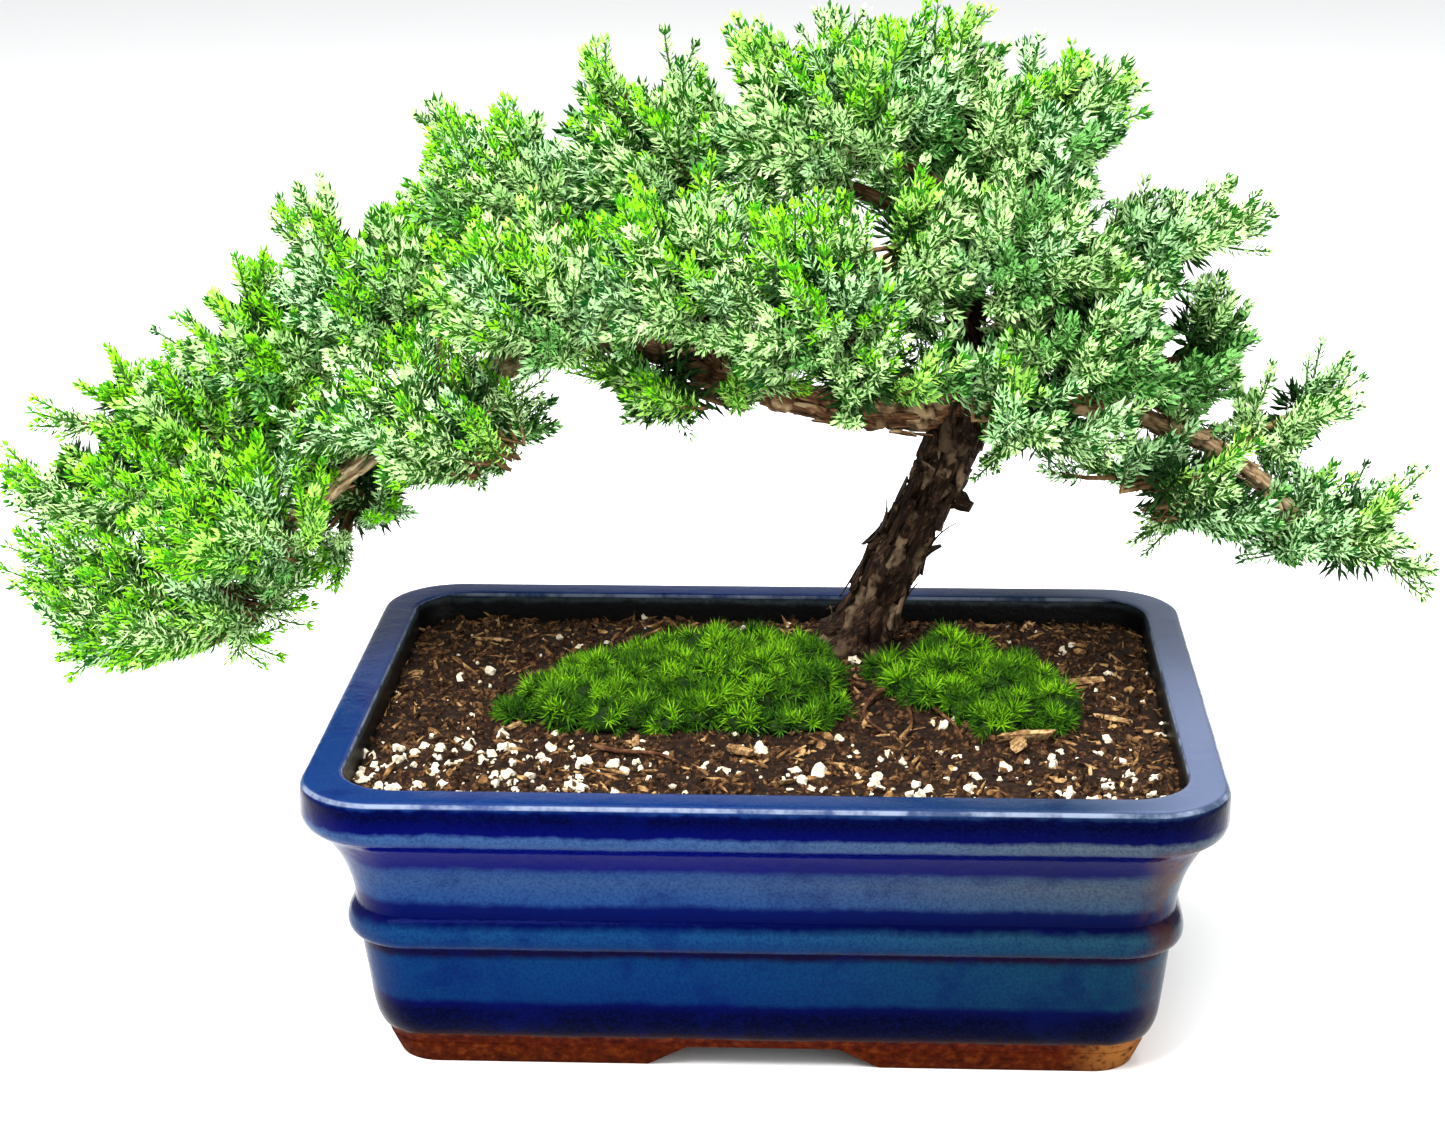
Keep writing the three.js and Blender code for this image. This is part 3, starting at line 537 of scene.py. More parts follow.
def glazeMaterial():
    material, shader = newMaterial("blueGlaze", (0.01, 0.03, 0.13), 0.1, 0.06,
                                   **{"Specular Tint": (0.06, 0.1, 0.5, 1.0)})
    at = placeInMm(shader)
    x, y, z = axesOf(at)
    drift, ripple = noiseOf(at, 0.05, 3), noiseOf(at, 0.4, 4)
    waves = [times(calc("SUBTRACT", wave, 0.5), far) for wave, far in zip((drift, ripple), glaze["waves"])]
    height = calc("ADD", z, calc("ADD", *waves))
    # the bands by height carry a painted reflection over the lower panel, painted shade under the lip and a
    # painted highlight on the rim's top edge
    colour = rampOf(calc("DIVIDE", height, pot["height"]), glaze["bands"])
    speck = spread(noiseOf(at, 1.5, 4, 0.7), 0.42, 0.62)
    colour = mixOf(times(speck, glaze["speckShare"]), colour, glaze["specks"])
    cloud = spread(noiseOf(at, 0.07, 4, 0.6, 0.4), 0.5, 0.72)
    colour = mixOf(times(cloud, glaze["cloudShare"]), colour, glaze["clouds"])
    further = spread(x, *glaze["greyerAlong"])
    colour = mixOf(further, colour, mixOf(1.0, colour, glaze["greyer"], "MULTIPLY"))
    # along the rim's front arris a pale line is a painted highlight; at the right end the rim's top is
    # greyer, a painted highlight too
    arris = times(spread(z, *glaze["arrisHighlightFrom"]), spread(z, *glaze["arrisHighlightTo"]))
    thin = spread(noiseOf(at, 0.09, 4, 0.7), 0.36, 0.6, (0.15, 0.95))
    colour = mixOf(times(arris, thin), colour, glaze["thin"])
    topHighlight = times(spread(z, *glaze["topHighlightFrom"]), spread(x, *glaze["topHighlightAlong"]))
    colour = mixOf(times(topHighlight, glaze["topHighlightShare"]), colour, glaze["rimTopHighlight"])
    # it breaks to brown over the corners
    corner = times(spread(calc("ABSOLUTE", x), *glaze["cornerAlong"]),
                   spread(calc("ABSOLUTE", y), *glaze["cornerAcross"]))
    brokenAt = spread(noiseOf(at, 0.16, 5, 0.65), 0.38, 0.54)
    lowRight = times(spread(x, *glaze["wornAlong"], (0.1, 0.9)), spread(height, *glaze["wornBelow"]))
    broken = times(times(corner, brokenAt), lowRight)
    colour = mixOf(broken, colour, mixOf(ripple, *glaze["worn"]))
    # bare clay below its wavy edge, and a thin brown line where it ends
    glazed = spread(height, *glaze["from"])
    colour = mixOf(times(spread(height, *glaze["edgeUpTo"]), glaze["edgeShare"]), colour, glaze["edge"])
    dents = bumpOf(noiseOf(at, 0.22, 3), 0.35, 0.5)
    wire(shader, {"Base Color": mixOf(glazed, clayColour(at), colour),
                  "Roughness": spread(glazed, 0, 1, (0.85, 0.13)),
                  "Normal": bumpOf(noiseOf(at, 2.2, 3), 0.06, 0.5, Normal=dents)})
    return material


def innerGlazeMaterial():
    material, shader = newMaterial("innerWall", (0.02, 0.03, 0.03), 0.4)
    at = placeInMm(shader)
    wavy = calc("ADD", axesOf(at)[2], times(noiseOf(at, 0.2, 4), glaze["innerWander"]))
    colour = rampOf(calc("DIVIDE", wavy, glaze["innerTop"]), glaze["innerBands"])
    stain = spread(noiseOf(at, 0.6, 5), 0.45, 0.65)
    wire(shader, {"Base Color": mixOf(times(stain, glaze["stainShare"]), colour, glaze["stain"]),
                  "Normal": bumpOf(noiseOf(at, 1.1, 4), 0.2)})
    return material


def clayMaterial():
    material, shader = newMaterial("bareClay", (0.06, 0.013, 0.002), 0.85, 0.03)
    at = placeInMm(shader)
    wire(shader, {"Base Color": clayColour(at), "Normal": bumpOf(noiseOf(at, 1.6, 5, 0.7), 0.3, 0.8)})
    return material


def cut(body, *tools):
    for tool in tools:
        modifier = body.modifiers.new("cut", "BOOLEAN")
        modifier.operation = "DIFFERENCE"
        modifier.object = tool
        modifier.solver = "EXACT"
    made = settled(body, body.name)
    drop(body, *tools)
    return made


def makePot():
    arris = pot["innerArris"]
    turned = [(pot["rim"] - arris * (1 - sine), pot["height"] - arris * (1 - cosine))
              for sine, cosine in ((0.5, 0.93), (0.86, 0.6))]
    outside = [outerRing(inset, z) for inset, z in [*potProfile(), *turned]]
    rings = outside + [innerRing(z) for z in pot["innerHeights"]]
    points = [point for ring in rings for point in uneven(ring, pot["unevenness"], 3.1)]
    sides = len(rings[0])
    faces = skin(len(rings), sides)
    slots = [0 if i < len(outside) * sides else 1 for i in range(len(faces))]
    finishes = [glazeMaterial(), innerGlazeMaterial()]
    body = newObject("potBody", points, faces, finishes, slots=slots)
    drains = []
    hole = pot["drain"]["radius"]
    angles = np.linspace(0, 2 * math.pi, 32, endpoint=False)
    for middle in (-pot["drain"]["fromMiddle"], pot["drain"]["fromMiddle"]):
        tube = [(middle + hole * math.cos(a), hole * math.sin(a), z) for z in (0, 20) for a in angles]
        drains.append(newObject("drain", tube, skin(2, len(angles)), finishes[:1]))
    body = cut(body, *drains)
    body.name = "potBody"
    body.data.set_sharp_from_angle(angle=math.radians(50))
    keep(body, "glaze", "pot")


def archBar(atTop, atFloor, length, along):
    slope = (atFloor - atTop) / 2 / pot["foot"]["height"]
    below, over = -1, pot["foot"]["height"] + 1
    corners = ((-1, below), (1, below), (1, over), (-1, over))
    outline = [(side * (atFloor / 2 - slope * z), z) for side, z in corners]
    points = [(a, side * length / 2, z) if along == "y" else (-side * length / 2, a, z)
              for side in (1, -1) for a, z in outline]
    return newObject("arch", points, skin(2, 4))


def makeFeet():
    foot = pot["foot"]
    rings = [outerRing(foot["inset"] + foot["lean"], 0), outerRing(foot["inset"], foot["height"])]
    sides = len(rings[0])
    band = newObject("potFeet", np.vstack(rings), skin(2, sides), [clayMaterial()])
    inside = [outerRing(foot["inset"] + foot["band"], z) for z in (-1, foot["height"] + 1)]
    feet = cut(band, newObject("hollow", np.vstack(inside), skin(2, sides)),
               archBar(*foot["front"], 2 * pot["width"], "y"), archBar(*foot["side"], 2 * pot["length"], "x"))
    softened = feet.modifiers.new("soften", "BEVEL")
    softened.width = foot["softened"] * mm
    softened.segments = 2
    softened.limit_method = "ANGLE"
    softened.angle_limit = math.radians(40)
    made = settled(feet)
    drop(feet)
    made.name = "potFeet"
    made.data.set_sharp_from_angle(angle=math.radians(40))
    nodes = [f"pot_foot_{depth}_{side}" for depth in ("front", "back") for side in ("left", "right")]
    keep(made, "clay", *nodes)


soil = {
    "atWall": 63, "atTrunk": 67.2, "flat": 13, "floor": 12.4, "rings": 46, "clearance": 0.3,
    "wallInset": 9.6, "heights": (34, 44, 55, 60), "mossKeepsOff": 0.85,
    # how thick perlite lies at the back and front, on the right and left, and in thin and thick patches
    "paleFront": (0.1, 1.0), "paleLeft": (0.75, 1.2), "palePatches": (0.3, 1.15),
    "frontFrom": (0, -62), "leftFrom": (40, -80),
    # grains of each kind on a square millimetre, smallest and largest in millimetres, and their shapes
    "crumb": {"density": 0.08, "sizes": (0.8, 2.9), "seed": 4},
    "crumbShapes": [(0.9, (1, 1, 0.8)), (0.7, (1.5, 0.8, 0.6)), (0.8, (1, 0.9, 1))],
    "perlite": {"density": 0.11, "sizes": (0.6, 3.4), "seed": 9},
    "woodChips": {"density": 0.014, "sizes": (0.7, 2.4), "seed": 14, "shape": (2.2, 1.1, 0.5)},
    "woodShreds": {"density": 0.026, "sizes": (2.0, 6.5), "seed": 17, "shape": (1.6, 0.2, 0.16)},
}
earths = {
    # scale of the drifts, depth of the grain, where dark and pale stand, then dark, middle and pale
    "earth": (0.5, 0.5, 0.3, 0.75, (0.003, 0.0015, 0.0008), (0.013, 0.005, 0.002), (0.06, 0.028, 0.012)),
    "crumbs": (0.6, 0.3, 0.34, 0.64, (0.004, 0.0014, 0.0005), (0.028, 0.011, 0.004), (0.15, 0.075, 0.03)),
    "perlite": (0.8, 0.3, 0.3, 0.7, (0.42, 0.33, 0.2), (0.7, 0.62, 0.46), (0.88, 0.83, 0.7)),
    "barkChips": (0.2, 0.3, 0.36, 0.66, (0.05, 0.02, 0.006), (0.2, 0.1, 0.035), (0.52, 0.33, 0.14)),
    "splitWood": (0.55, 0.3, 0.34, 0.64, (0.05, 0.02, 0.007), (0.26, 0.14, 0.055), (0.6, 0.41, 0.2)),
    "rootBark": (0.4, 0.2, 0.3, 0.7, (0.02, 0.007, 0.003), (0.07, 0.026, 0.012), (0.2, 0.1, 0.045)),
    "twigBark": (0.3, 0.1, 0.3, 0.7, (0.06, 0.03, 0.012), (0.2, 0.11, 0.045), (0.42, 0.28, 0.13)),
}
trunkFoot = np.array((22.0, 38.0))


def earthMaterial(name):
    scale, depth, dark, pale, *colours = earths[name]
    return mottled(name, list(zip((dark, 0.5, pale), colours)), (scale, 4, 0.7), 0.95, (3.2, 4, 0.7, depth))


def scatterTree():
    tree, given = newTree("scatter", [
        ("Grain", "Object", None), ("Density", "Float", 1.0), ("Where", "String", "open"),
        ("Apart", "Float", 0.0005), ("Smallest", "Float", 1.0), ("Largest", "Float", 2.0),
        ("Upright", "Float", 0.0), ("Seed", "Int", 1), ("Finish", "Material", None)])
    seed = given["Seed"]
    spots = addNode(tree, "GeometryNodeDistributePointsOnFaces", {
        "Mesh": given["Geometry"], "Distance Min": given["Apart"], "Density Max": given["Density"],
        "Density Factor": namedValue(tree, given["Where"]), "Seed": seed}, distribute_method="POISSON")
    grain = addNode(tree, "GeometryNodeObjectInfo", {"Object": given["Grain"]}).outputs["Geometry"]
    tumble = randomOf((-math.pi,) * 3, (math.pi,) * 3, seed, 1)
    loose = turnOf(scaledBy(tumble, calc("SUBTRACT", 1.0, given["Upright"])))
    turned = turnedBy(spots.outputs["Rotation"], loose, spinOf(randomOf(-math.pi, math.pi, seed, 2)))
    share = calc("POWER", randomOf(0.0, 1.0, seed, 3), 1.6)  # more small grains than large ones
    size = addNode(tree, "ShaderNodeMapRange", {0: share, 3: given["Smallest"], 4: given["Largest"]})
    scale = scaledBy(randomOf((0.75,) * 3, (1.25,) * 3, seed, 4), times(size.outputs[0], mm))
    grains = addNode(tree, "GeometryNodeInstanceOnPoints", {
        "Points": spots.outputs["Points"], "Instance": grain, "Rotation": turned, "Scale": scale}).outputs[0]
    return endTree(tree, grains, (given["Finish"],))


def lump(subdivisions, stretch, roughness, seed):
    # a rough grain about 1 across, in its own units
    mesh = bpy.data.meshes.new("grain")
    shape = bmesh.new()
    bmesh.ops.create_icosphere(shape, subdivisions=subdivisions, radius=0.5)
    for corner in shape.verts:
        away = 1 + roughness * noise.noise(corner.co * 2.6 + Vector((seed, 0, 0)))
        corner.co = Vector([value * side * away for value, side in zip(corner.co, stretch)])
    shape.to_mesh(mesh)
    shape.free()
    return linked("grain", mesh)


def scatter(surface, tree, name, grain, finish, where, row, upright=0.0, apart=0.4):
    made = grown(surface, tree, name, {
        "Grain": grain, "Density": row["density"] / mm / mm, "Where": where, "Apart": apart * mm,
        "Smallest": row["sizes"][0], "Largest": row["sizes"][1], "Upright": upright, "Seed": row["seed"],
        "Finish": finish})
    drop(grain)
    print(name, len(made.data.polygons), "faces")
    return made


def soilRise(x, y):
    # height of the soil over a place in the pot, from a flat top round the trunk down to the wall
    away = np.hypot(x - trunkFoot[0], y - trunkFoot[1])
    heading = np.arctan2(y - trunkFoot[1], x - trunkFoot[0])
    halfX, halfY = pot["length"] / 2 - soil["wallInset"], pot["width"] / 2 - soil["wallInset"]
    toX = (np.sign(np.cos(heading)) * halfX - trunkFoot[0]) / (np.cos(heading) + 1e-9)
    toY = (np.sign(np.sin(heading)) * halfY - trunkFoot[1]) / (np.sin(heading) + 1e-9)
    wall = np.minimum(np.abs(toX), np.abs(toY))
    share = np.clip((away - soil["flat"]) / np.maximum(wall - soil["flat"], 1), 0, 1)
    return lerp(soil["atTrunk"], soil["atWall"], smooth(0, 1, share))


def makeSoil(tree):
    earth, crumbs, white, chips = map(earthMaterial, ("earth", "crumbs", "perlite", "barkChips"))
    edge = innerRing(soil["atWall"], soil["clearance"])
    rings = [innerRing(z, soil["clearance"]) for z in (soil["floor"], *soil["heights"])]
    openness = [0.0] * len(rings) + [1.0] * soil["rings"]
    away = np.linalg.norm(edge[:, :2] - trunkFoot, axis=1, keepdims=True)
    outward = (edge[:, :2] - trunkFoot) / away
    for i in range(soil["rings"]):
        flat = trunkFoot + outward * lerp(2.0, away, 1 - i / soil["rings"])
        rings.append(np.column_stack([flat, soilRise(flat[:, 0], flat[:, 1])]))
    points = np.vstack(rings)
    top = np.repeat(openness, len(edge))
    for i in np.nonzero(top)[0]:
        x, y, z = points[i]
        rough = noise.fractal(Vector((x, y, 0)) * 0.16, 0.7, 2.1, 4) * 0.9
        points[i, 2] = z + rough + noise.noise(Vector((x, y, 7)) * 0.05) * 0.8 - 0.3
    # the moss cushions keep most grains off; perlite lies thickest along the front
    bare = top * (1 - soil["mossKeepsOff"] * mossCover(points[:, 0], points[:, 1]))
    front = lerp(*soil["paleFront"], smooth(*soil["frontFrom"], points[:, 1]))
    front = front * lerp(*soil["paleLeft"], smooth(*soil["leftFrom"], points[:, 0]))
    patches = [noise.noise(Vector((x, y, 0)) * 0.07) for x, y in points[:, :2]]
    front = front * lerp(*soil["palePatches"], smooth(-0.25, 0.25, np.array(patches)))
    body = newObject("soilBody", points, skin(len(rings), len(edge)), [earth],
                     {"open": bare, "pale": bare * np.clip(front, 0, 1)})
    pieces = []
    for i, (roughness, stretch) in enumerate(soil["crumbShapes"]):
        row = dict(soil["crumb"], seed=soil["crumb"]["seed"] + i)
        pieces.append(scatter(body, tree, "crumbs", lump(1, stretch, roughness, i), crumbs, "open", row))
    keep(joined("soilCrumbs", *pieces), "soil")
    grain = lump(2, (1, 0.9, 0.8), 0.8, 5)
    keep(scatter(body, tree, "perliteGrains", grain, white, "pale", soil["perlite"], apart=1.0), "soil")
    for name in ("woodChips", "woodShreds"):
        grain = lump(1, soil[name]["shape"], 0.8, 8)
        keep(scatter(body, tree, name, grain, chips, "open", soil[name], upright=0.85, apart=1.0), "soil")
    keep(body, "soil", "soil")
    makeWood()
    makeRoots()


litter = {
    # place, heading, length, width and height of each piece of wood
    "wood": [
        (59, -21, 10, 13, 4.5, 3), (57, -26, 100, 7, 4, 4), (-6, -31, 150, 7, 4, 3),
        (48, 60, 2, 19, 2, 1.4), (63, 57, 70, 8, 3.2, 2), (20, -38, 140, 9, 2, 1.4), (74, 20, 20, 12, 3, 1.8),
        (80, -4, 150, 9, 3.5, 2), (-30, -26, 95, 6, 2.6, 2), (34, 22, 75, 8, 4, 3),
        (-72, 48, 170, 10, 1.6, 1.2), (66, -2, 160, 13, 2.4, 1.6), (-60, -14, 60, 6, 2.2, 1.6),
        (4, -46, 20, 6, 2.4, 1.6),        (84, 38, 110, 8, 2.4, 1.6)],
    "edges": 8, "rings": 7, "seed": 31,
    # stops of each fine root: place, and height over the soil
    "roots": [[(24, 28, 1.5), (27, 14, 1.2), (31, 0, 1.0), (33, -12, 0.3), (31, -21, -0.4)],
              [(27, 27, 1.2), (33, 10, 1.0), (37, -4, 1.2), (43, -15, 0.6), (45, -24, -0.4)],
              [(30, 9, 0.8), (24, 0, 0.9), (22, -10, 0.5), (27, -18, -0.3)],
              [(36, 2, 0.6), (44, -2, 1.0), (52, -9, 0.4), (57, -8, -0.4)],
              [(-40, -26, -0.3), (-34, -31, 0.8), (-24, -33, 0.9), (-17, -38, -0.3)]],
    "rootSizes": (0.75, 0.25),
}


def makeWood():
    # split pieces of wood that lie on the soil: their edges run the whole length and end raggedly
    dice = random.Random(litter["seed"])
    points, faces = [], []
    for x, y, heading, length, width, height in litter["wood"]:
        ahead = np.array((math.cos(math.radians(heading)), math.sin(math.radians(heading)), 0))
        across = np.array((-ahead[1], ahead[0], 0))
        middle = np.array((x, y, float(soilRise(x, y)) - 0.4 + height / 2))
        edges = sorted(dice.uniform(0, 2 * math.pi) for _ in range(litter["edges"]))
        bulges = [dice.uniform(0.6, 1.15) for _ in edges]
        ends = [[dice.uniform(0.34, 0.56) for _ in edges] for _ in range(2)]
        faces += skin(litter["rings"], len(edges), len(points))
        for i in range(litter["rings"]):
            share = 2 * i / (litter["rings"] - 1) - 1
            for turn, bulge, back, front in zip(edges, bulges, *ends):
                along = length * share * (front if share > 0 else back)
                wide = bulge * (1 - 0.25 * abs(share)) * dice.uniform(0.88, 1.08) / 2
                points.append(middle + ahead * along - across * math.cos(turn) * width * wide
                              + up * math.sin(turn) * height * wide)
    keep(newObject("woodPieces", points, faces, [earthMaterial("splitWood")], shadeSmooth=False), "soil")


def makeRoots():
    rows = []
    for stops in litter["roots"]:
        path = pathThrough([(x, y, float(soilRise(x, y)) + lift) for x, y, lift in stops], 8)
        rows.append(stick(path, *litter["rootSizes"]))
    source = lines("rootLines", rows)
    roots = grown(source, twigTree(), "fineRoots", {"Sides": 6, "Finish": earthMaterial("rootBark")})
    drop(source)
    keep(roots, "bark")


moss = {
    # middle and half sizes of each hump of cushions
    "mossLeft": [(-38, 4, 23, 25), (-16, 13, 28, 31), (0, 11, 18, 26)],
    "mossRight": [(41, 19, 15, 23), (55, 6, 17, 22)],
    "forward": 3.5, "height": 8.2, "cushion": (3.4, 5.4), "apart": 8.0, "sunk": 1.5,
    "least": 0.3, "offTrunk": 12,  # no cushion where a hump is lower than this share, or closer to the trunk
    "tufts": [
        # name, density, smallest and largest, blades, where; the bright tufts on the sunny tops of the
        # cushions are a painted highlight
        ("Dark", 0.19, (2.6, 4.4), 11, "growing"),
        ("Green", 0.12, (3.0, 5.0), 12, "growing"),
        ("Bright", 0.17, (3.2, 5.4), 14, "sunny"),
    ],
    "under": ((0.002, 0.008, 0.0004), (0.006, 0.022, 0.0008), (0.014, 0.045, 0.0015)),
    "colours": {
        "Dark": ((0.004, 0.025, 0.0004), (0.015, 0.07, 0.0008), (0.04, 0.12, 0.002)),
        "Green": ((0.02, 0.085, 0.0006), (0.045, 0.15, 0.001), (0.09, 0.23, 0.003)),
        "Bright": ((0.07, 0.23, 0.001), (0.14, 0.36, 0.003), (0.25, 0.54, 0.008)),
    },
    "seed": 21, "cushionSeed": 40,
}


def mossHeightAt(humps, x, y):
    best = np.zeros_like(np.asarray(x, float))
    for middleX, middleY, halfX, halfY in humps:
        inside = 1 - ((x - middleX) / halfX) ** 2 - ((y - middleY) / halfY) ** 2
        best = np.maximum(best, np.sqrt(np.clip(inside, 0, 1)))
    return best


def mossCover(x, y):
    heights = [mossHeightAt(moss[name], x, y) for name in ("mossLeft", "mossRight")]
    return smooth(0, 0.45, np.maximum(*heights))


def mossMaterial(name, colours, reach):
    stops = list(zip((0.5 - reach, 0.5, 0.5 + reach), colours))
    return mottled(name, stops, (0.33, 3, 0.6), 0.75, (4.0, 2, 0.55, 0.2))


def starTuft(blades, seed):
    # a little star of blades round one stem
    dice = random.Random(seed)
    points, faces = [], []
    for i in range(blades):
        around = i * goldenAngle
        tilt = lerp(0.35, 1.35, i / blades)
        out = np.array((math.cos(around), math.sin(around), 0))
        side = np.array((-math.sin(around), math.cos(around), 0)) * 0.075
        ahead = out * math.sin(tilt) + up * math.cos(tilt)
        reach = lerp(0.75, 1, dice.random())
        first = len(points)
        points += [side, -side, ahead * 0.5 * reach + up * 0.08, ahead * reach + up * 0.06 * reach]
        faces += [[first + k for k in face] for face in ((0, 1, 2), (0, 3, 1), (1, 3, 2), (2, 3, 0))]
    return linked("tuft", newMesh("tuft", points, [], faces))


def ball():
    shape = bmesh.new()
    bmesh.ops.create_icosphere(shape, subdivisions=3, radius=1)
    corners = [corner.co.copy() for corner in shape.verts]
    triangles = [[corner.index for corner in face.verts] for face in shape.faces]
    shape.free()
    return corners, triangles


def mossCushions(name, humps, dice, under):
    # a raft of small domes over the humps, with how well tufts grow on each spot
    points, faces, growing, sunny = [], [], [], []
    corners, triangles = ball()
    lowX, lowY = (min(row[i] - row[i + 2] for row in humps) for i in (0, 1))
    highX, highY = (max(row[i] + row[i + 2] for row in humps) for i in (0, 1))
    for row in range(int((highY - lowY) / moss["apart"]) + 1):
        for column in range(int((highX - lowX) / moss["apart"]) + 1):
            x = lowX + (column + 0.5 * (row % 2) + 0.5 * dice.random()) * moss["apart"]
            y = lowY + (row + 0.5 * dice.random()) * moss["apart"]
            share = float(mossHeightAt(humps, x, y))
            radius = lerp(*moss["cushion"], dice.random())
            away = math.hypot(x - trunkFoot[0], y - trunkFoot[1])
            if share < moss["least"] or away < moss["offTrunk"] + radius:
                continue
            low = float(soilRise(x, y)) - moss["sunk"]
            tall = moss["height"] * share * lerp(0.72, 1.0, dice.random()) + moss["sunk"]
            faces += [[len(points) + i for i in face] for face in triangles]
            for corner in corners:
                bulge = 1 + 0.22 * noise.noise(corner * 1.7 + Vector((x, y, 0)))
                points.append((x + corner.x * radius * bulge, y - moss["forward"] + corner.y * radius * bulge,
                               low + (corner.z * bulge * 0.5 + 0.5) * tall))
                growing.append(float(smooth(-0.7, 0.1, corner.z)))
                # bright tufts on the tops, in patches: a painted highlight where the light falls
                patch = noise.noise(Vector((x, y, 4)) * 0.12 + corner * 0.5)
                sunny.append(float(smooth(0.1, 0.75, corner.z) * smooth(-0.3, 0.15, patch)))
    return newObject(name, points, faces, [under], {"growing": growing, "sunny": sunny})


def makeMoss(tree):
    under = mossMaterial("mossUnder", moss["under"], 0.2)
    finishes = {key: mossMaterial("moss" + key, colours, 0.16) for key, colours in moss["colours"].items()}
    for order, name in enumerate(("mossLeft", "mossRight")):
        cushions = mossCushions(name, moss[name], random.Random(moss["cushionSeed"] + order), under)
        for i, (shade, density, sizes, blades, where) in enumerate(moss["tufts"]):
            row = {"density": density, "sizes": sizes, "seed": moss["seed"] + order + 7 * i}
            tuft = starTuft(blades, 5 + i)
            keep(scatter(cushions, tree, name + shade, tuft, finishes[shade], where, row, 0.9, 0.8), "moss")
        keep(cushions, "moss", ("moss_left", "moss_right")[order])


trunkRows = [
    # x, y, z and radius, from the soil to the tip
    (20.4, 38, 64.5, 11.0), (20.4, 38, 67.5, 10.0), (21.3, 38, 70.5, 8.2), (23.3, 38, 77, 7.0),
    (28.8, 39, 89, 6.3), (36.4, 40, 104, 6.2), (42, 40, 117, 6.4), (45, 40, 127, 7.0), (46, 40, 136, 5.6),
    (45, 40, 148, 4.4), (46, 39, 162, 3.8), (48, 38, 178, 2.9), (46, 40, 192, 1.5)]
trunkCut = 1  # the row at soil level: shares along the trunk count from it
stub = {"at": 0.335, "tip": (47.5, 36, 103.5), "radii": (3.8, 1.7)}
boughs = [
    # name, parent, share of the parent's length, radii, stops after the root
    ("left_bough", "trunk", 0.5, (4.9, 1.3), [
        (23, 39, 127), (6, 37, 131), (-14, 35, 137), (-31, 33, 144), (-46, 32, 145), (-65, 30, 139),
        (-85, 28, 127), (-104, 26, 113), (-119, 24, 101), (-138, 22, 88)]),
    ("right_bough", "trunk", 0.53, (3.7, 1.4), [
        (64, 38, 131), (76, 36, 129), (90, 34, 126), (103, 32, 121), (114, 31, 114), (126, 31, 104)]),
    ("upper_left_bough", "trunk", 0.77, (2.6, 1.4), [(25, 41, 178), (6, 42, 183), (-14, 44, 185)]),
    ("upper_right_bough", "trunk", 0.67, (2.3, 1.4), [(60, 41, 156), (79, 42, 166)]),
    ("front_bough", "trunk", 0.55, (2.7, 1.4), [(40, 22, 136), (27, 6, 142)]),
    ("back_bough", "trunk", 0.6, (2.5, 1.4), [(56, 56, 144), (72, 71, 141)]),
    ("apex_back_bough", "trunk", 0.79, (2, 1.2), [(45, 56, 168), (45, 71, 172)]),
    ("apex_left_bough", "trunk", 0.86, (1.9, 1.2), [(33, 35, 187), (19, 32, 192)]),
    ("rise_inner", "left_bough", 0.29, (2.2, 1.2), [(-19, 26, 150), (-24, 14, 159)]),
    ("rise_outer", "left_bough", 0.56, (2.1, 1.2), [(-70, 35, 155), (-71, 41, 172)]),
    ("rise_end", "left_bough", 0.74, (2, 1.2), [(-97, 32, 131), (-96, 36, 144)]),
    ("back_rise_inner", "left_bough", 0.42, (2.1, 1.2), [(-42, 51, 151), (-45, 70, 157)]),
    ("back_rise_outer", "left_bough", 0.65, (2, 1.2), [(-83, 48, 138), (-84, 65, 146)]),
    ("back_side_bough", "left_bough", 0.76, (1.9, 1.2), [(-112, 45, 115), (-122, 60, 112)]),
    ("left_side_bough", "left_bough", 0.89, (1.7, 1.1), [(-133, 27, 103), (-146, 29, 107)]),
]
splitBoughs = {"left_bough": ("inner", "middle", "outer"), "right_bough": ("inner", "outer")}
bark = {
    "ringStep": 0.9, "trunkSides": 56, "boughSides": 18, "stubSides": 16, "collar": 0.28,
    "plate": 1.7, "strip": 0.9, "knob": 2.4, "twist": 0.012,
    # how often each form comes, across and along a limb
    "plates": (0.34, 0.17), "strips": (0.9, 0.1), "fibres": (2.4, 0.3), "knobs": (0.14, 0.1),
    "full": 6.5,  # radius from which a limb has the relief in full
    "rootLobes": 5, "lobeDepth": 0.2, "lobesBelow": 76, "lobesOver": 9,
    "seed": 12, "flakes": 170, "flakeSize": (2.5, 11), "flakeWidth": (1.2, 4.4), "flakeLift": 3.6,
    "boughFlakes": 260, "boughFlakeSize": (3, 9), "boughFlakeWidth": (0.8, 2.0), "boughFlakeLift": (0.2, 1.6),
    "flakeStations": 80, "flakeSteps": 6, "flakeThickness": 0.3,
    "flaked": ["left_bough"] * 4 + ["right_bough"] * 2 + ["front_bough", "upper_right_bough", "rise_inner"],
}
barks = {
    # depths, middle and crests of the fibre, then where a plate has come off
    "oldBark": ((0.003, 0.0014, 0.0006), (0.02, 0.0085, 0.004), (0.1, 0.055, 0.028), (0.3, 0.21, 0.13)),
    "youngBark": ((0.028, 0.01, 0.004), (0.17, 0.075, 0.032), (0.5, 0.32, 0.16), (0.55, 0.4, 0.23)),
}
straw = {
    # a limb is paler further out
    "colours": [(0.3, (0.16, 0.075, 0.03)), (0.5, (0.66, 0.45, 0.25)), (0.66, (0.98, 0.82, 0.56))],
    "middle": 30, "from": 45, "to": 115, "share": 0.9,
}
limbs = {}


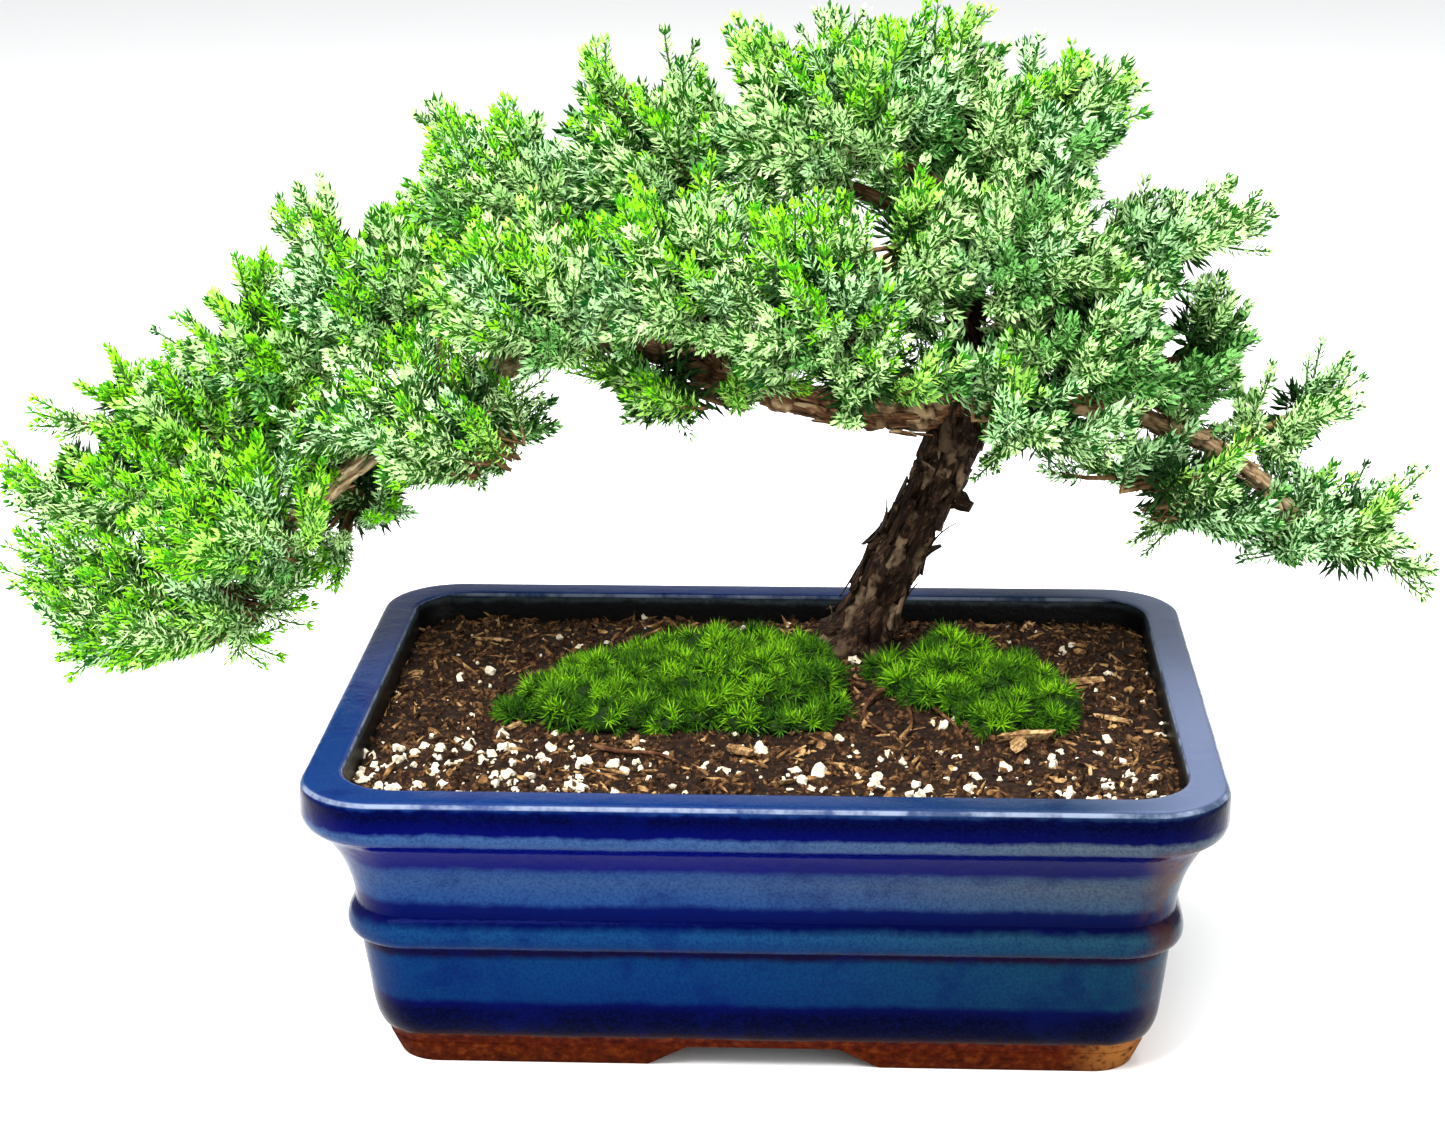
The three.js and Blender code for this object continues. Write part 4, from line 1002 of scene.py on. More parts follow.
def makeLimbs():
    limbs["trunkWhole"] = pathThrough(trunkRows)
    limbs["trunk"] = pathThrough(trunkRows[trunkCut:])
    for name, parent, share, radii, stops in boughs:
        root = alongPath(limbs[parent], [share])[0]
        path = pathThrough([root[:3], *stops])
        lengths = np.concatenate([[0], np.cumsum(np.linalg.norm(np.diff(path, axis=0), axis=1))])
        shares = lengths / lengths[-1]
        radius = lerp(*radii, shares) * (1 + bark["collar"] * np.clip(1 - 5 * shares, 0, 1))
        limbs[name] = np.column_stack([path, radius])


def framesAlong(path, count):
    rows = alongPath(path, np.linspace(0, 1, count))
    aheads = unit(np.gradient(rows[:, :3], axis=0))
    acrosses = []
    across = np.array((0.0, 1.0, 0.0))
    for ahead in aheads:
        across = across - ahead * across.dot(ahead)
        across = across / np.linalg.norm(across)
        acrosses.append(across)
    return rows, aheads, np.array(acrosses), np.cross(aheads, acrosses)


def barkRelief(angle, along, radius, seed):
    # plates and long strips that wind a little round the limb; gives height, crack and plate
    wound = angle + bark["twist"] * along
    x, y = math.cos(wound) * radius, math.sin(wound) * radius

    def at(form, seedX, seedY):
        across, length = bark[form]
        return Vector((x * across + seedX, y * across + seedY, along * length))

    distances, spots = noise.voronoi(at("plates", seed, 0))
    crack = float(smooth(0.16, 0.02, distances[1] - distances[0]))
    plate = noise.noise(spots[0] * 9.7) * 0.5 + 0.5
    strip = noise.noise(at("strips", 0, seed))
    fine = noise.noise(at("fibres", seed, 0))
    knob = noise.noise(at("knobs", seed, 0))
    relief = (bark["plate"] * (plate - 0.5 - 0.7 * crack)
              + bark["strip"] * (0.5 - 2.4 * abs(strip) + 0.35 * fine) + bark["knob"] * knob)
    return relief, crack, plate


def barkSkin(path, sides, seed, depth, rooted=False):
    # one closed limb with its relief, and what its finish needs to know
    length = pathLength(path)
    count = max(6, int(length / bark["ringStep"]))
    rows, aheads, acrosses, overs = framesAlong(path, count)
    points, grain, cracks, plates = [], [], [], []
    for i in range(count):
        along = length * i / (count - 1)
        radius = rows[i, 3]
        scale = min(1.0, radius / bark["full"]) * depth
        low = max(0, (bark["lobesBelow"] - rows[i, 2]) / bark["lobesOver"])
        flare = bark["lobeDepth"] * low if rooted else 0
        for j in range(sides):
            angle = 2 * math.pi * j / sides
            relief, crack, plate = barkRelief(angle, along, radius, seed)
            lobes = 1 + flare * (math.cos(bark["rootLobes"] * angle + 0.4) + 0.3 * math.cos(3 * angle))
            away = radius * lobes + relief * scale
            points.append(rows[i, :3] + away * (math.cos(angle) * acrosses[i] + math.sin(angle) * overs[i]))
            grain.append((math.cos(angle) * radius, math.sin(angle) * radius, along))
            cracks.append(crack)
            plates.append(plate)
    return points, skin(count, sides), grain, cracks, plates


def flakeSkin(path, dice, reach, width, lift):
    # a thin strip of bark that peels off at one end
    count, steps = bark["flakeStations"], bark["flakeSteps"]
    rows, aheads, acrosses, overs = framesAlong(path, count)
    length = pathLength(path)
    start = dice.uniform(0.04, 0.93)
    angle = dice.uniform(0, 2 * math.pi)
    way = dice.choice((-1, 1))
    lean = dice.uniform(-0.25, 0.25)
    plate = dice.random() ** 1.6
    points, grain = [], []
    for share in np.arange(steps) / (steps - 1):
        i = int(np.clip((start + way * reach * share / length) * (count - 1), 0, count - 1))
        here = lerp(rows[i, :3], rows[min(i + 1, count - 1), :3], 0.5)
        wide = width * math.sin(math.pi * (0.12 + 0.8 * share)) ** 0.7 / rows[i, 3]
        peel = 0.25 + lift * share ** 2.2
        slide = aheads[i] * way * (reach * share - abs(i / (count - 1) - start) * length)
        for side, thick in ((-0.5, 0), (0.5, 0), (0.5, 1), (-0.5, 1)):
            at = angle + lean * share + side * wide
            out = math.cos(at) * acrosses[i] + math.sin(at) * overs[i]
            points.append(here + slide + out * (rows[i, 3] + peel + thick * bark["flakeThickness"]))
            grain.append((at * rows[i, 3], peel, reach * share + start * length))
    faces = skin(steps, 4)
    if way < 0:
        faces = [tuple(reversed(face)) for face in faces]
    return points, faces, grain, [0.0] * len(points), [plate] * len(points)


def barkMaterial(name, paling=0.0):
    dark, mid, pale, patch = barks[name]
    material, shader = newMaterial(name, mid, 0.9)
    grain = attributeOf(shader, "grain", "Vector")
    stretched = addNode(shader.id_data, "ShaderNodeMapping", {"Vector": grain, "Scale": (1, 1, 0.16)})
    fibre = noiseOf(stretched.outputs[0], 1.6, 5, 0.65, 0.2)
    blotch = noiseOf(grain, 0.16, 3, 0.6)
    colour = rampOf(fibre, [(0.32, dark), (0.52, mid), (0.72, pale)])
    peeled = times(spread(attributeOf(shader, "plate"), 0.52, 0.68), spread(blotch, 0.42, 0.58))
    colour = mixOf(peeled, colour, mixOf(fibre, patch, pale))
    if paling:
        away = calc("ABSOLUTE", calc("SUBTRACT", axesOf(placeInMm(shader))[0], straw["middle"]))
        further = spread(away, straw["from"], straw["to"], (0, paling))
        colour = mixOf(further, colour, rampOf(fibre, straw["colours"]))
    cracked = times(attributeOf(shader, "crack"), 0.85)
    wire(shader, {"Base Color": mixOf(cracked, colour, (0.008, 0.004, 0.002)),
                  "Roughness": spread(fibre, 0.3, 0.7, (0.95, 0.7)), "Normal": bumpOf(fibre, 0.5, 0.9)})
    return material


def gathered(name, skins, material):
    points, faces, grain, cracks, plates = [], [], [], [], []
    for morePoints, moreFaces, moreGrain, moreCracks, morePlates in skins:
        faces += [tuple(len(points) + i for i in face) for face in moreFaces]
        points += morePoints
        grain += moreGrain
        cracks += moreCracks
        plates += morePlates
    return newObject(name, points, faces, [material], {"grain": grain, "crack": cracks, "plate": plates})


def makeBark():
    makeLimbs()
    dice = random.Random(bark["seed"])
    trunk = limbs["trunkWhole"]
    root = alongPath(limbs["trunk"], [stub["at"]])[0]
    branch = np.column_stack([np.linspace(root[:3], stub["tip"], 20), np.linspace(*stub["radii"], 20)])
    skins = [barkSkin(trunk, bark["trunkSides"], 0.0, 1.0, True),
             barkSkin(branch, bark["stubSides"], 5.0, 1.6)]
    for _ in range(bark["flakes"]):
        size, width = dice.uniform(*bark["flakeSize"]), dice.uniform(*bark["flakeWidth"])
        skins.append(flakeSkin(trunk, dice, size, width, dice.random() ** 2 * bark["flakeLift"]))
    keep(gathered("trunkBark", skins, barkMaterial("oldBark")), "bark", "trunk")
    skins, nodes = [], []
    for i, (name, *_) in enumerate(boughs):
        skins.append(barkSkin(limbs[name], bark["boughSides"], 11.0 + i, 1.0))
        nodes += [f"{name}_{part}" for part in splitBoughs[name]] if name in splitBoughs else [name]
    for _ in range(bark["boughFlakes"]):
        name = dice.choice(bark["flaked"])
        size, width = dice.uniform(*bark["boughFlakeSize"]), dice.uniform(*bark["boughFlakeWidth"])
        skins.append(flakeSkin(limbs[name], dice, size, width, dice.uniform(*bark["boughFlakeLift"])))
    keep(gathered("boughBark", skins, barkMaterial("youngBark", straw["share"])), "bark", *nodes)
    print("bark done")


masses = [
    # name, bough, share of its length, middle, half sizes, rise of the right end in degrees
    ("low_left", "left_bough", 1, (-150, 20, 86), (42, 25, 25), 14),
    ("left_tip", "left_side_bough", 1, (-164, 30, 110), (33, 22, 16), 0),
    ("left_inner", "left_bough", 0.87, (-128, 10, 107), (27, 22, 21), 0),
    ("left_rise", "left_bough", 0.9, (-153, 40, 125), (30, 21, 16), -8),
    ("left_slope", "left_bough", 0.82, (-126, 42, 144), (27, 25, 23), -20),
    ("left_back", "back_side_bough", 1, (-130, 75, 114), (28, 25, 24), -10),
    ("left_shoulder", "rise_end", 1, (-101, 38, 158), (28, 27, 28), -8),
    ("left_under", "left_bough", 0.8, (-104, 42, 104), (27, 24, 20), 8),
    ("left_front", "left_bough", 0.66, (-78, 10, 130), (36, 24, 24), -4),
    ("upper_left", "rise_outer", 1, (-69, 44, 182), (27, 26, 24), 0),
    ("front_left", "left_bough", 0.46, (-58, 8, 161), (28, 24, 26), 0),
    ("back_left", "back_rise_outer", 1, (-86, 82, 155), (30, 25, 27), 0),
    ("crown_left", "upper_left_bough", 1, (-33, 46, 190), (28, 27, 28), 0),
    ("front_middle", "rise_inner", 1, (-22, 5, 168), (28, 22, 27), 0),
    ("under_middle", "left_bough", 0.33, (-29, 20, 138), (36, 22, 18), 0),
    ("back_middle", "back_rise_inner", 1, (-42, 86, 164), (30, 24, 28), 0),
    ("front", "front_bough", 0.8, (9, -2, 164), (27, 21, 29), 0),
    ("apex_left", "apex_left_bough", 1, (6, 32, 200), (28, 26, 27), 0),
    ("apex", "trunk", 1, (37, 46, 202), (27, 27, 26), 0),
    ("apex_right", "trunk", 0.9, (63, 38, 195), (26, 26, 25), 0),
    ("apex_front", "trunk", 0.84, (29, 15, 172), (24, 20, 25), 0),
    ("right_shoulder", "trunk", 0.82, (62, 16, 172), (25, 22, 23), 0),
    ("apex_back", "apex_back_bough", 1, (46, 86, 181), (29, 22, 27), 0),
    ("upper_right", "upper_right_bough", 1, (92, 43, 168), (28, 24, 15), 14),
    ("right_front", "right_bough", 0.3, (77, 12, 151), (28, 22, 22), 0),
    ("right_rise", "right_bough", 0.64, (99, 46, 142), (21, 24, 25), 0),
    ("front_right", "right_bough", 0.22, (61, 4, 136), (30, 23, 20), 0),
    ("back_right", "back_bough", 1, (86, 82, 142), (29, 24, 27), 0),
    ("right_side", "right_bough", 0.74, (125, 45, 125), (22, 18, 13), 24),
    ("right_under", "right_bough", 0.7, (99, 24, 114), (32, 22, 19), -6),
    ("right_tip", "right_bough", 1, (137, 34, 99), (28, 20, 17), -14),
    ("front_low", "front_bough", 1, (21, -2, 143), (28, 20, 15), 0),
]
foliage = {
    "fingers": 40, "fingersFor": 1900,  # so many where a mass's half sizes, multiplied in pairs, add up to it
    "highest": 0.97, "lowest": -0.85, "shortest": 0.64, "longest": 0.84,
    "driftUp": 0.26, "driftOut": 0.14, "core": 0.65, "heart": 0.12,
    "start": 0.26, "startDown": 0.38, "startIn": 0.4,  # where a finger leaves its stem, in shares of the mass
    "lift": (0.1, 1.1),  # how far a finger turns up on its way, low and high in a mass
    "steps": 13, "leastSteps": 6, "wander": 0.2, "needledFrom": 0.12,
    "sideShoots": 5, "sideFrom": 0.08, "sideOver": 0.62, "sideLength": (15.0, 8.0), "sideAngle": 29,
    "sideSteps": 7, "leastSide": 4, "sideNeedles": (0.95, 0.9), "sideBuds": 0.8,
    "needle": (3.7, 3.0), "spacing": 1.0, "turn": 62, "loose": 0.13,
    "tipLength": 0.36, "tipNeedles": (1.05, 0.9), "tipAge": 0.62,
    "inside": 40, "insideNeedle": (6.4, 5.2), "insideReach": (0.3, 0.54), "insideSpacing": 1.8,
    "buried": 0.72, "keptIn": 3.2,  # no finger this deep in another mass; tips stay this far inside the whole
    "stem": (1.5, 0.9), "twig": (0.75, 0.35), "stalk": (0.4, 0.25), "sideStalk": (0.38, 0.22),
    "gapDepth": 38, "pieceLimit": 185000,
    # each kind is for fingers of a shade below its limit; then what height adds to the shade, as painted
    # light from above, and what the left side adds
    "shades": [("deep", 0.16), ("blue", 0.4), ("leaf", 0.96), ("fresh", 2)],
    "shadeHigh": 0.22, "shadeLeft": 0.12,
    "brightFingers": 0.16, "limeOfBright": 0.45,  # of the fingers on the left side
    # chance that a finger ends in lime growth, and what its height and the sides of the tree change
    "buds": 0.34, "budsHigh": 0.42, "budsLeft": 0.2, "budsRight": -0.62, "budLimits": (0.02, 0.92),
    # where the sides begin and are full, how far the right one lacks lime growth, and needles between fingers
    "budsRightFrom": (10, 70), "leftFrom": (-60, -165), "rightFrom": (20, 90), "lessOnRight": 0.9,
    "needleScale": (0.85, 1.12),
}
kinds = {
    # backs and faces of the needles, the backs darker than their own green as painted shade and the faces
    # their pale band with a painted highlight; the inner ones are painted dark as shade inside a mass
    "deep": ((0.006, 0.055, 0.004), (0.16, 0.42, 0.1)),
    "blue": ((0.006, 0.07, 0.008), (0.46, 0.78, 0.36)),
    "leaf": ((0.014, 0.1, 0.004), (0.54, 0.85, 0.33)),
    "fresh": ((0.02, 0.15, 0.004), (0.39, 0.77, 0.12)),
    "lime": ((0.04, 0.25, 0.002), (0.23, 0.68, 0.01)),
    "inner": ((0.005, 0.022, 0.003), (0.014, 0.055, 0.009)),
}
skyGaps = [
    # x, z and radius of each place where the sky shows right through
    (25, 167, 3.2), (93.5, 151, 3.8), (121, 142, 4), (107, 127, 4), (119, 126, 2.5), (141, 122, 5),
    # and of each place where it comes in between the fingers, along the outline and under the crown
    (-171, 139, 6), (-166, 135.5, 4.5), (-157, 142, 4), (-142, 157, 5.5), (-134.5, 146.5, 2),
    (-169, 116.5, 3), (-180, 115, 4), (-48, 211, 3), (-120, 166, 3), (-101, 171, 3), (-131, 154, 3),
    (-59, 200, 2.5), (-54, 194, 2.5), (117, 152, 4), (-133, 160, 3.5), (-85, 193, 3.5), (-87, 201, 2.5),
    (-49, 205, 3), (-28, 207, 3.5), (75, 213, 3), (55.5, 210, 3), (75.5, 186, 2.5), (90, 184, 3),
    (97, 163, 3), (113, 134.5, 2.5), (138, 117, 3), (146, 113.5, 3), (131, 114, 2.5), (-127, 167, 3.5),
    (-101, 176, 4), (-96, 183, 5), (-89, 188, 5), (-68, 206, 5), (-52, 199, 3.5), (-32, 212, 6.5),
    (-12, 213, 3), (-10, 203, 3.5), (7, 222, 2.5), (30, 224, 4), (56, 219, 4.5), (64, 219, 3),
    (74, 217, 4), (81, 184, 6), (76, 172, 2.5), (94, 184, 4), (118, 185, 4), (103, 163, 3.5),
    (113, 158, 4), (95, 142, 4), (114, 139, 3.5), (133, 142, 3), (132, 120, 4), (150, 118, 5),
    (160, 106, 4), (-103, 93, 3.5), (-91, 104, 3), (-93, 93, 6.5), (-82, 99, 7), (-67, 105, 6),
    (-57, 110, 7), (-43, 119, 6), (-31, 118, 6), (-14, 121, 6.5), (13, 118, 6), (61, 107, 6.5),
    (61, 115, 3.5), (80, 107.5, 2.5), (88, 105, 2.5), (153, 99, 3.5), (-139, 150, 3), (-152, 141, 3),
    (70, 219, 3), (84, 99, 5), (100, 96, 3.5), (105, 91, 3), (110, 93, 3), (130, 87.5, 3), (142, 86, 3),
    (-41, 127.5, 5), (-146, 152, 2.5), (-135.5, 145, 2), (-83, 205, 3), (65, 212, 2.5),
    (-172, 128, 2.5), (-163, 124.5, 2), (114, 149, 3),
]
standOut = [
    # tips that single fingers reach for: along the outline, then in front of the thin places
    (-183, 22, 97), (-182, 20, 88), (-180, 24, 93), (-176, 20, 82), (-170, 16, 72), (-108, 28, 91),
    (-116, 24, 82), (-125, 20, 73), (-120, 22, 90), (-110, 24, 94), (-105, 22, 97), (-98, 28, 101),
    (-94, 28, 105), (-88, 30, 104), (-172, 18, 98), (-165, 16, 99), (-157, 14, 99), (-148, 14, 101),
    (-145, 40, 149), (-134, 40, 152), (-124, 40, 163), (-156, 38, 137), (-185, 30, 112),
    (-176, 34, 126), (-187, 28, 110), (-111, 38, 177), (-108, 38, 176), (-86, 44, 198), (-44, 40, 213),
    (-23, 44, 210), (-9, 40, 215), (15, 36, 221), (45, 40, 221), (69, 38, 212), (77, 38, 208),
    (-55, 24, 128), (-51, 24, 132), (-11, 24, 182), (76, 38, 204), (78, 40, 200), (-116, 28, 97),
    (-111, 26, 89), (-119, 26, 106), (-109, 28, 91), (-82, 18, 145), (-84, 18, 146), (-147, 40, 140),
    (-130, 40, 161), (-117, 40, 169), (-86, 42, 198), (-57, 42, 197), (-37, 42, 210), (-13, 42, 204),
    (57, 40, 215), (22, 26, 180), (95, 40, 154), (118, 42, 130), (128, 36, 115), (-7, 22, 129),
    (-20, 18, 130), (4, 26, 129), (51, 34, 118), (48, 34, 113), (-71, 26, 113), (-89, 28, 107),
    (95, 30, 100), (112, 30, 99), (118, 30, 96), (131, 44, 133), (125, 30, 118), (124, 30, 113),
    (109, 30, 100), (70, 30, 115), (49, 32, 114), (112, 43, 174), (110, 43, 169), (104, 44, 154),
    (102, 42, 149), (92, 40, 152), (103, 44, 146), (117, 44, 131), (150, 34, 109), (158, 34, 89),
    (92, 28, 103), (99, 26, 101), (-2, 26, 182), (4, 26, 183), (16, 28, 180), (22, 26, 183),
    (25, 28, 174), (28, 24, 155), (34, 24, 150), (37, 26, 148), (10, 20, 141), (4, 20, 142),
    (-28, 10, 154), (-61, 16, 139), (-98, 18, 143), (54, 30, 121), (50, 30, 117), (-114, 22, 126),
    (-111, 24, 133), (-115, 18, 121), (-106, 20, 128), (-110, 24, 115), (-106, 26, 119),
    (-113, 20, 129), (-108, 24, 124), (-26, 8, 151), (-22, 10, 156), (-30, 8, 147), (-75, 22, 147),
    (-68, 22, 145), (-62, 20, 150), (-5, 24, 178), (0, 22, 174), (8, 20, 176), (14, 22, 146),
    (20, 20, 144), (30, 22, 142), (52, 26, 146), (57, 26, 150), (62, 28, 134), (74, 36, 116),
    (79, 36, 113), (-59, 32, 125),
]
bareWood = [
    # x, y, z and radius of each place where nothing grows in front of the wood
    (-109, 32, 106, 2), (-98, 32, 114.5, 3), (-117, 30, 98, 2), (-64, 34, 139, 4), (-29, 35, 142, 4.5),
    (-16, 36, 137, 5), (11, 36, 129, 5), (25, 38, 125, 5), (37, 38, 123, 6), (44, 38, 118, 7),
    (73, 34, 130, 3.5), (90, 34, 124, 4), (102, 32, 119, 4), (114, 31, 112, 4.5), (124, 31, 104, 4),
]
whorls = {
    # tilt, width and thickness of a needle, and the ages of a shoot's stations between which it is used
    "Open whorl": (54, 0.17, 0.11, -1, 0.6),
    "Half-open whorl": (40, 0.19, 0.12, 0.6, 0.88),
    "Closed whorl": (25, 0.38, 0.2, 0.88, 2),
}


def whorl(tilt, width, thickness):
    # three needles round a stem, each 1 long in its own units: a kite of four faces, with its ridge towards
    # the stem and its pale faces on one side or the other, so that neighbours stand apart
    # the pale faces are the needles' own pale band with a painted highlight, and the dark faces are partly
    # painted shade
    stripes = ((True, False, False, True), (False, True, False, True), (True, True, False, False))
    leaning = math.radians(tilt)
    points, faces, pale = [], [], []
    for i, stripe in enumerate(stripes):
        around = 2 * math.pi * i / len(stripes)
        out = np.array((math.cos(around), math.sin(around), 0))
        side = np.array((-math.sin(around), math.cos(around), 0)) * width / 2
        ahead = out * math.sin(leaning) + up * math.cos(leaning)
        inner = up * math.sin(leaning) - out * math.cos(leaning)
        base = out * 0.03
        widest = base + ahead * 0.5 - inner * thickness
        first = len(points)
        points += [base, base + ahead, widest + side, widest - side]
        faces += [[first + k for k in face] for face in ((0, 1, 2), (1, 0, 3), (0, 2, 3), (1, 3, 2))]
        pale += stripe
    mesh = newMesh("whorl", points, [], faces)
    mesh.attributes.new("pale", "BOOLEAN", "FACE").data.foreach_set("value", pale)
    shape = bmesh.new()
    shape.from_mesh(mesh)
    bmesh.ops.recalc_face_normals(shape, faces=shape.faces)
    shape.to_mesh(mesh)
    shape.free()
    return linked("whorl", mesh)


def needleTree():
    tree, given = newTree("needles", [
        *((label, "Object", None) for label in whorls), ("Spacing", "Float", 0.001),
        ("Turn", "Float", 1.1), ("Loose", "Float", 0.15), ("Seed", "Int", 1), ("Backs", "Material", None),
        ("Faces", "Material", None)])
    shoots = addNode(tree, "GeometryNodeMeshToCurve", {"Mesh": given["Geometry"]}).outputs[0]
    even = addNode(tree, "GeometryNodeResampleCurve", {"Curve": shoots, "Length": given["Spacing"]},
                   mode="LENGTH").outputs[0]
    stations = addNode(tree, "GeometryNodeCurveToPoints", {"Curve": even}, mode="EVALUATED").outputs
    index = addNode(tree, "GeometryNodeInputIndex").outputs[0]
    shaken = turnOf(scaledBy(randomOf((-1, -1, -1), (1, 1, 1), given["Seed"], 1), given["Loose"]))
    turned = turnedBy(stations["Rotation"], spinOf(times(index, given["Turn"])), shaken)
    size = times(namedValue(tree, "size"), randomOf(0.82, 1.14, given["Seed"], 2))
    age = namedValue(tree, "age")
    join = addNode(tree, "GeometryNodeJoinGeometry")
    for label, (tilt, width, thickness, young, old) in whorls.items():
        chosen = times(calc("GREATER_THAN", age, young), calc("LESS_THAN", age, old))
        shape = addNode(tree, "GeometryNodeObjectInfo", {"Object": given[label]}).outputs["Geometry"]
        placed = addNode(tree, "GeometryNodeInstanceOnPoints", {
            "Points": stations["Points"], "Selection": chosen, "Instance": shape, "Rotation": turned,
            "Scale": size})
        tree.links.new(placed.outputs[0], join.inputs[0])
    pale = namedValue(tree, "pale", "BOOLEAN")
    return endTree(tree, join.outputs[0], (given["Backs"],), (given["Faces"], pale))


def twigTree():
    tree, given = newTree("twigs", [("Sides", "Int", 3), ("Finish", "Material", None)])
    twigs = addNode(tree, "GeometryNodeMeshToCurve", {"Mesh": given["Geometry"]}).outputs[0]
    outline = addNode(tree, "GeometryNodeCurvePrimitiveCircle", {
        "Resolution": given["Sides"], "Radius": 1.0}).outputs[0]
    tubes = addNode(tree, "GeometryNodeCurveToMesh", {
        "Curve": twigs, "Profile Curve": outline, "Fill Caps": True, "Scale": namedValue(tree, "size")})
    return endTree(tree, tubes.outputs[0], (given["Finish"],))


def lines(name, shoots):
    # shoots as edges, for the trees to grow along
    points, edges, sizes, ages = [], [], [], []
    for shoot in shoots:
        first = len(points)
        points += [place(point) for point in shoot["path"]]
        edges += [(first + i, first + i + 1) for i in range(len(shoot["path"]) - 1)]
        sizes += [size * mm for size in shoot["sizes"]]
        ages += list(shoot["ages"])
    return linked(name, newMesh(name, points, edges, [], {"size": sizes, "age": ages}))


def makeSpace(name, bough, share, middle, half, rise):
    middle, half = np.array(middle, float), np.array(half, float)
    slope = math.radians(-rise)
    sine, cosine = math.sin(slope), math.cos(slope)
    outward = unit(np.array((middle[0] - trunkFoot[0], middle[1] - trunkFoot[1], 0)))
    root = alongPath(limbs[bough], [share])[0][:3]
    turn = np.array(((cosine, 0, sine), (0, 1, 0), (-sine, 0, cosine)))
    return {"middle": middle, "half": half, "turn": turn, "outward": outward, "root": root,
            "heart": lerp(middle, root, foliage["heart"]),
            "drift": outward * foliage["driftOut"] * half[0] + up * foliage["driftUp"] * half[2]}


def settle(space, p):
    # a place in a mass, from its own units; the outermost drift up and away from the trunk
    out = max(0.0, np.linalg.norm(p) - foliage["core"]) / (1 - foliage["core"])
    return space["turn"] @ (p * space["half"]) + space["middle"] + space["drift"] * out ** 1.5


def inUnits(space, p):
    return np.linalg.norm(space["turn"].T @ (p - space["middle"]) / space["half"])


def sightLine(middle, radius, behind):
    # a line from the camera through a place that stays open, from so far behind the place on
    middle = np.array(middle, float)
    return middle, unit(np.array(view["stand"], float) - middle), radius, behind


keptOpen = [sightLine((x, foliage["gapDepth"], z), radius, -150) for x, z, radius in skyGaps]
keptOpen += [sightLine(middle, radius, 2) for *middle, radius in bareWood]


def openPart(path):
    # as much of a shoot as keeps clear of the sky gaps and of the bare stretches of wood
    clear = len(path)
    for middle, towards, radius, behind in keptOpen:
        along = (path - middle) @ towards
        off = np.linalg.norm(path - middle - np.outer(along, towards), axis=1)
        inWay = np.nonzero((off < radius) & (along > behind))[0]
        if len(inWay):
            clear = min(clear, inWay[0])
    return path[:clear]


def shootRow(kind, path, needles, youngest=0.0):
    ages = np.linspace(youngest, 1, len(path))
    return {"kind": kind, "path": path, "ages": ages, "sizes": lerp(needles[0], needles[1], ages ** 2)}


def stick(path, thick, thin):
    return {"path": path, "sizes": np.linspace(thick, thin, len(path)), "ages": np.zeros(len(path))}


def tipped(kind, path, needles, youngest, limed):
    # a shoot, with its tip in fresh lime growth or not
    if not limed:
        return [shootRow(kind, path, needles, youngest)]
    steps = len(path)
    turn = max(2, steps - max(2, int(round(steps * foliage["tipLength"]))))
    body = shootRow(kind, path[:turn + 1], needles, youngest)
    body["ages"] = body["ages"] * 0.6
    tipNeedles = [needles[1] * share for share in foliage["tipNeedles"]]
    return [body, shootRow("lime", path[turn:], tipNeedles, foliage["tipAge"])]


def growFinger(foot, tip, lift, kind, turned, budChance, dice, growth, reachable):
    # one long shoot like a bottle brush, which ends on its way up, with its side shoots
    length = np.linalg.norm(tip - foot)
    wild = np.array([dice.uniform(-1, 1) for _ in range(3)])
    for rise in (lift, 0.0):  # straight up to its tip, where the curve would run into a gap
        way = unit(unit(tip - foot) + up * rise + wild * foliage["wander"])
        path = openPart(bentPath(foot, tip - way * 0.5 * length, tip, foliage["steps"]))
        if len(path) == foliage["steps"]:
            break
    if len(path) < foliage["leastSteps"]:
        return
    scale = lerp(*foliage["needleScale"], dice.random())
    needles = [size * scale for size in foliage["needle"]]
    budding = dice.random() < budChance
    growth["shoots"] += tipped(kind, path[1:], needles, foliage["needledFrom"], budding)
    growth["green"].append(stick(path[len(path) // 2:], *foliage["stalk"]))
    sideNeedles = [size * share for size, share in zip(needles, foliage["sideNeedles"])]
    for k in range(foliage["sideShoots"]):
        share = (k + 0.35 + 0.3 * dice.random()) / foliage["sideShoots"]
        share = share * foliage["sideOver"] + foliage["sideFrom"]
        start, after = alongPath(path, [share, min(1, share + 0.05)])
        ahead = unit(after - start)
        across = unit(np.cross(ahead, up + 0.01 * ahead[::-1]))
        over = np.cross(ahead, across)
        around = k * goldenAngle + turned
        angle = math.radians(foliage["sideAngle"] + dice.uniform(-8, 8))
        aside = math.cos(around) * across + math.sin(around) * over
        way = math.cos(angle) * ahead + math.sin(angle) * aside
        reach = lerp(*foliage["sideLength"], share) * lerp(0.75, 1.15, dice.random()) * (1 + 0.15 * way[2])
        end = np.clip(start + way * reach * 0.8 + ahead * reach * 0.2 + up * 0.06 * reach, *reachable)
        side = openPart(bentPath(start, start + way * reach * 0.5, end, foliage["sideSteps"]))
        if len(side) < foliage["leastSide"]:
            continue
        limed = budding and dice.random() < foliage["sideBuds"]
        growth["shoots"] += tipped(kind, side, sideNeedles, 0.15, limed)
        growth["green"].append(stick(side[::2], *foliage["sideStalk"]))
    growth["twigs"].append(stick(np.vstack([growth["heart"], path[:7]]), *foliage["twig"]))


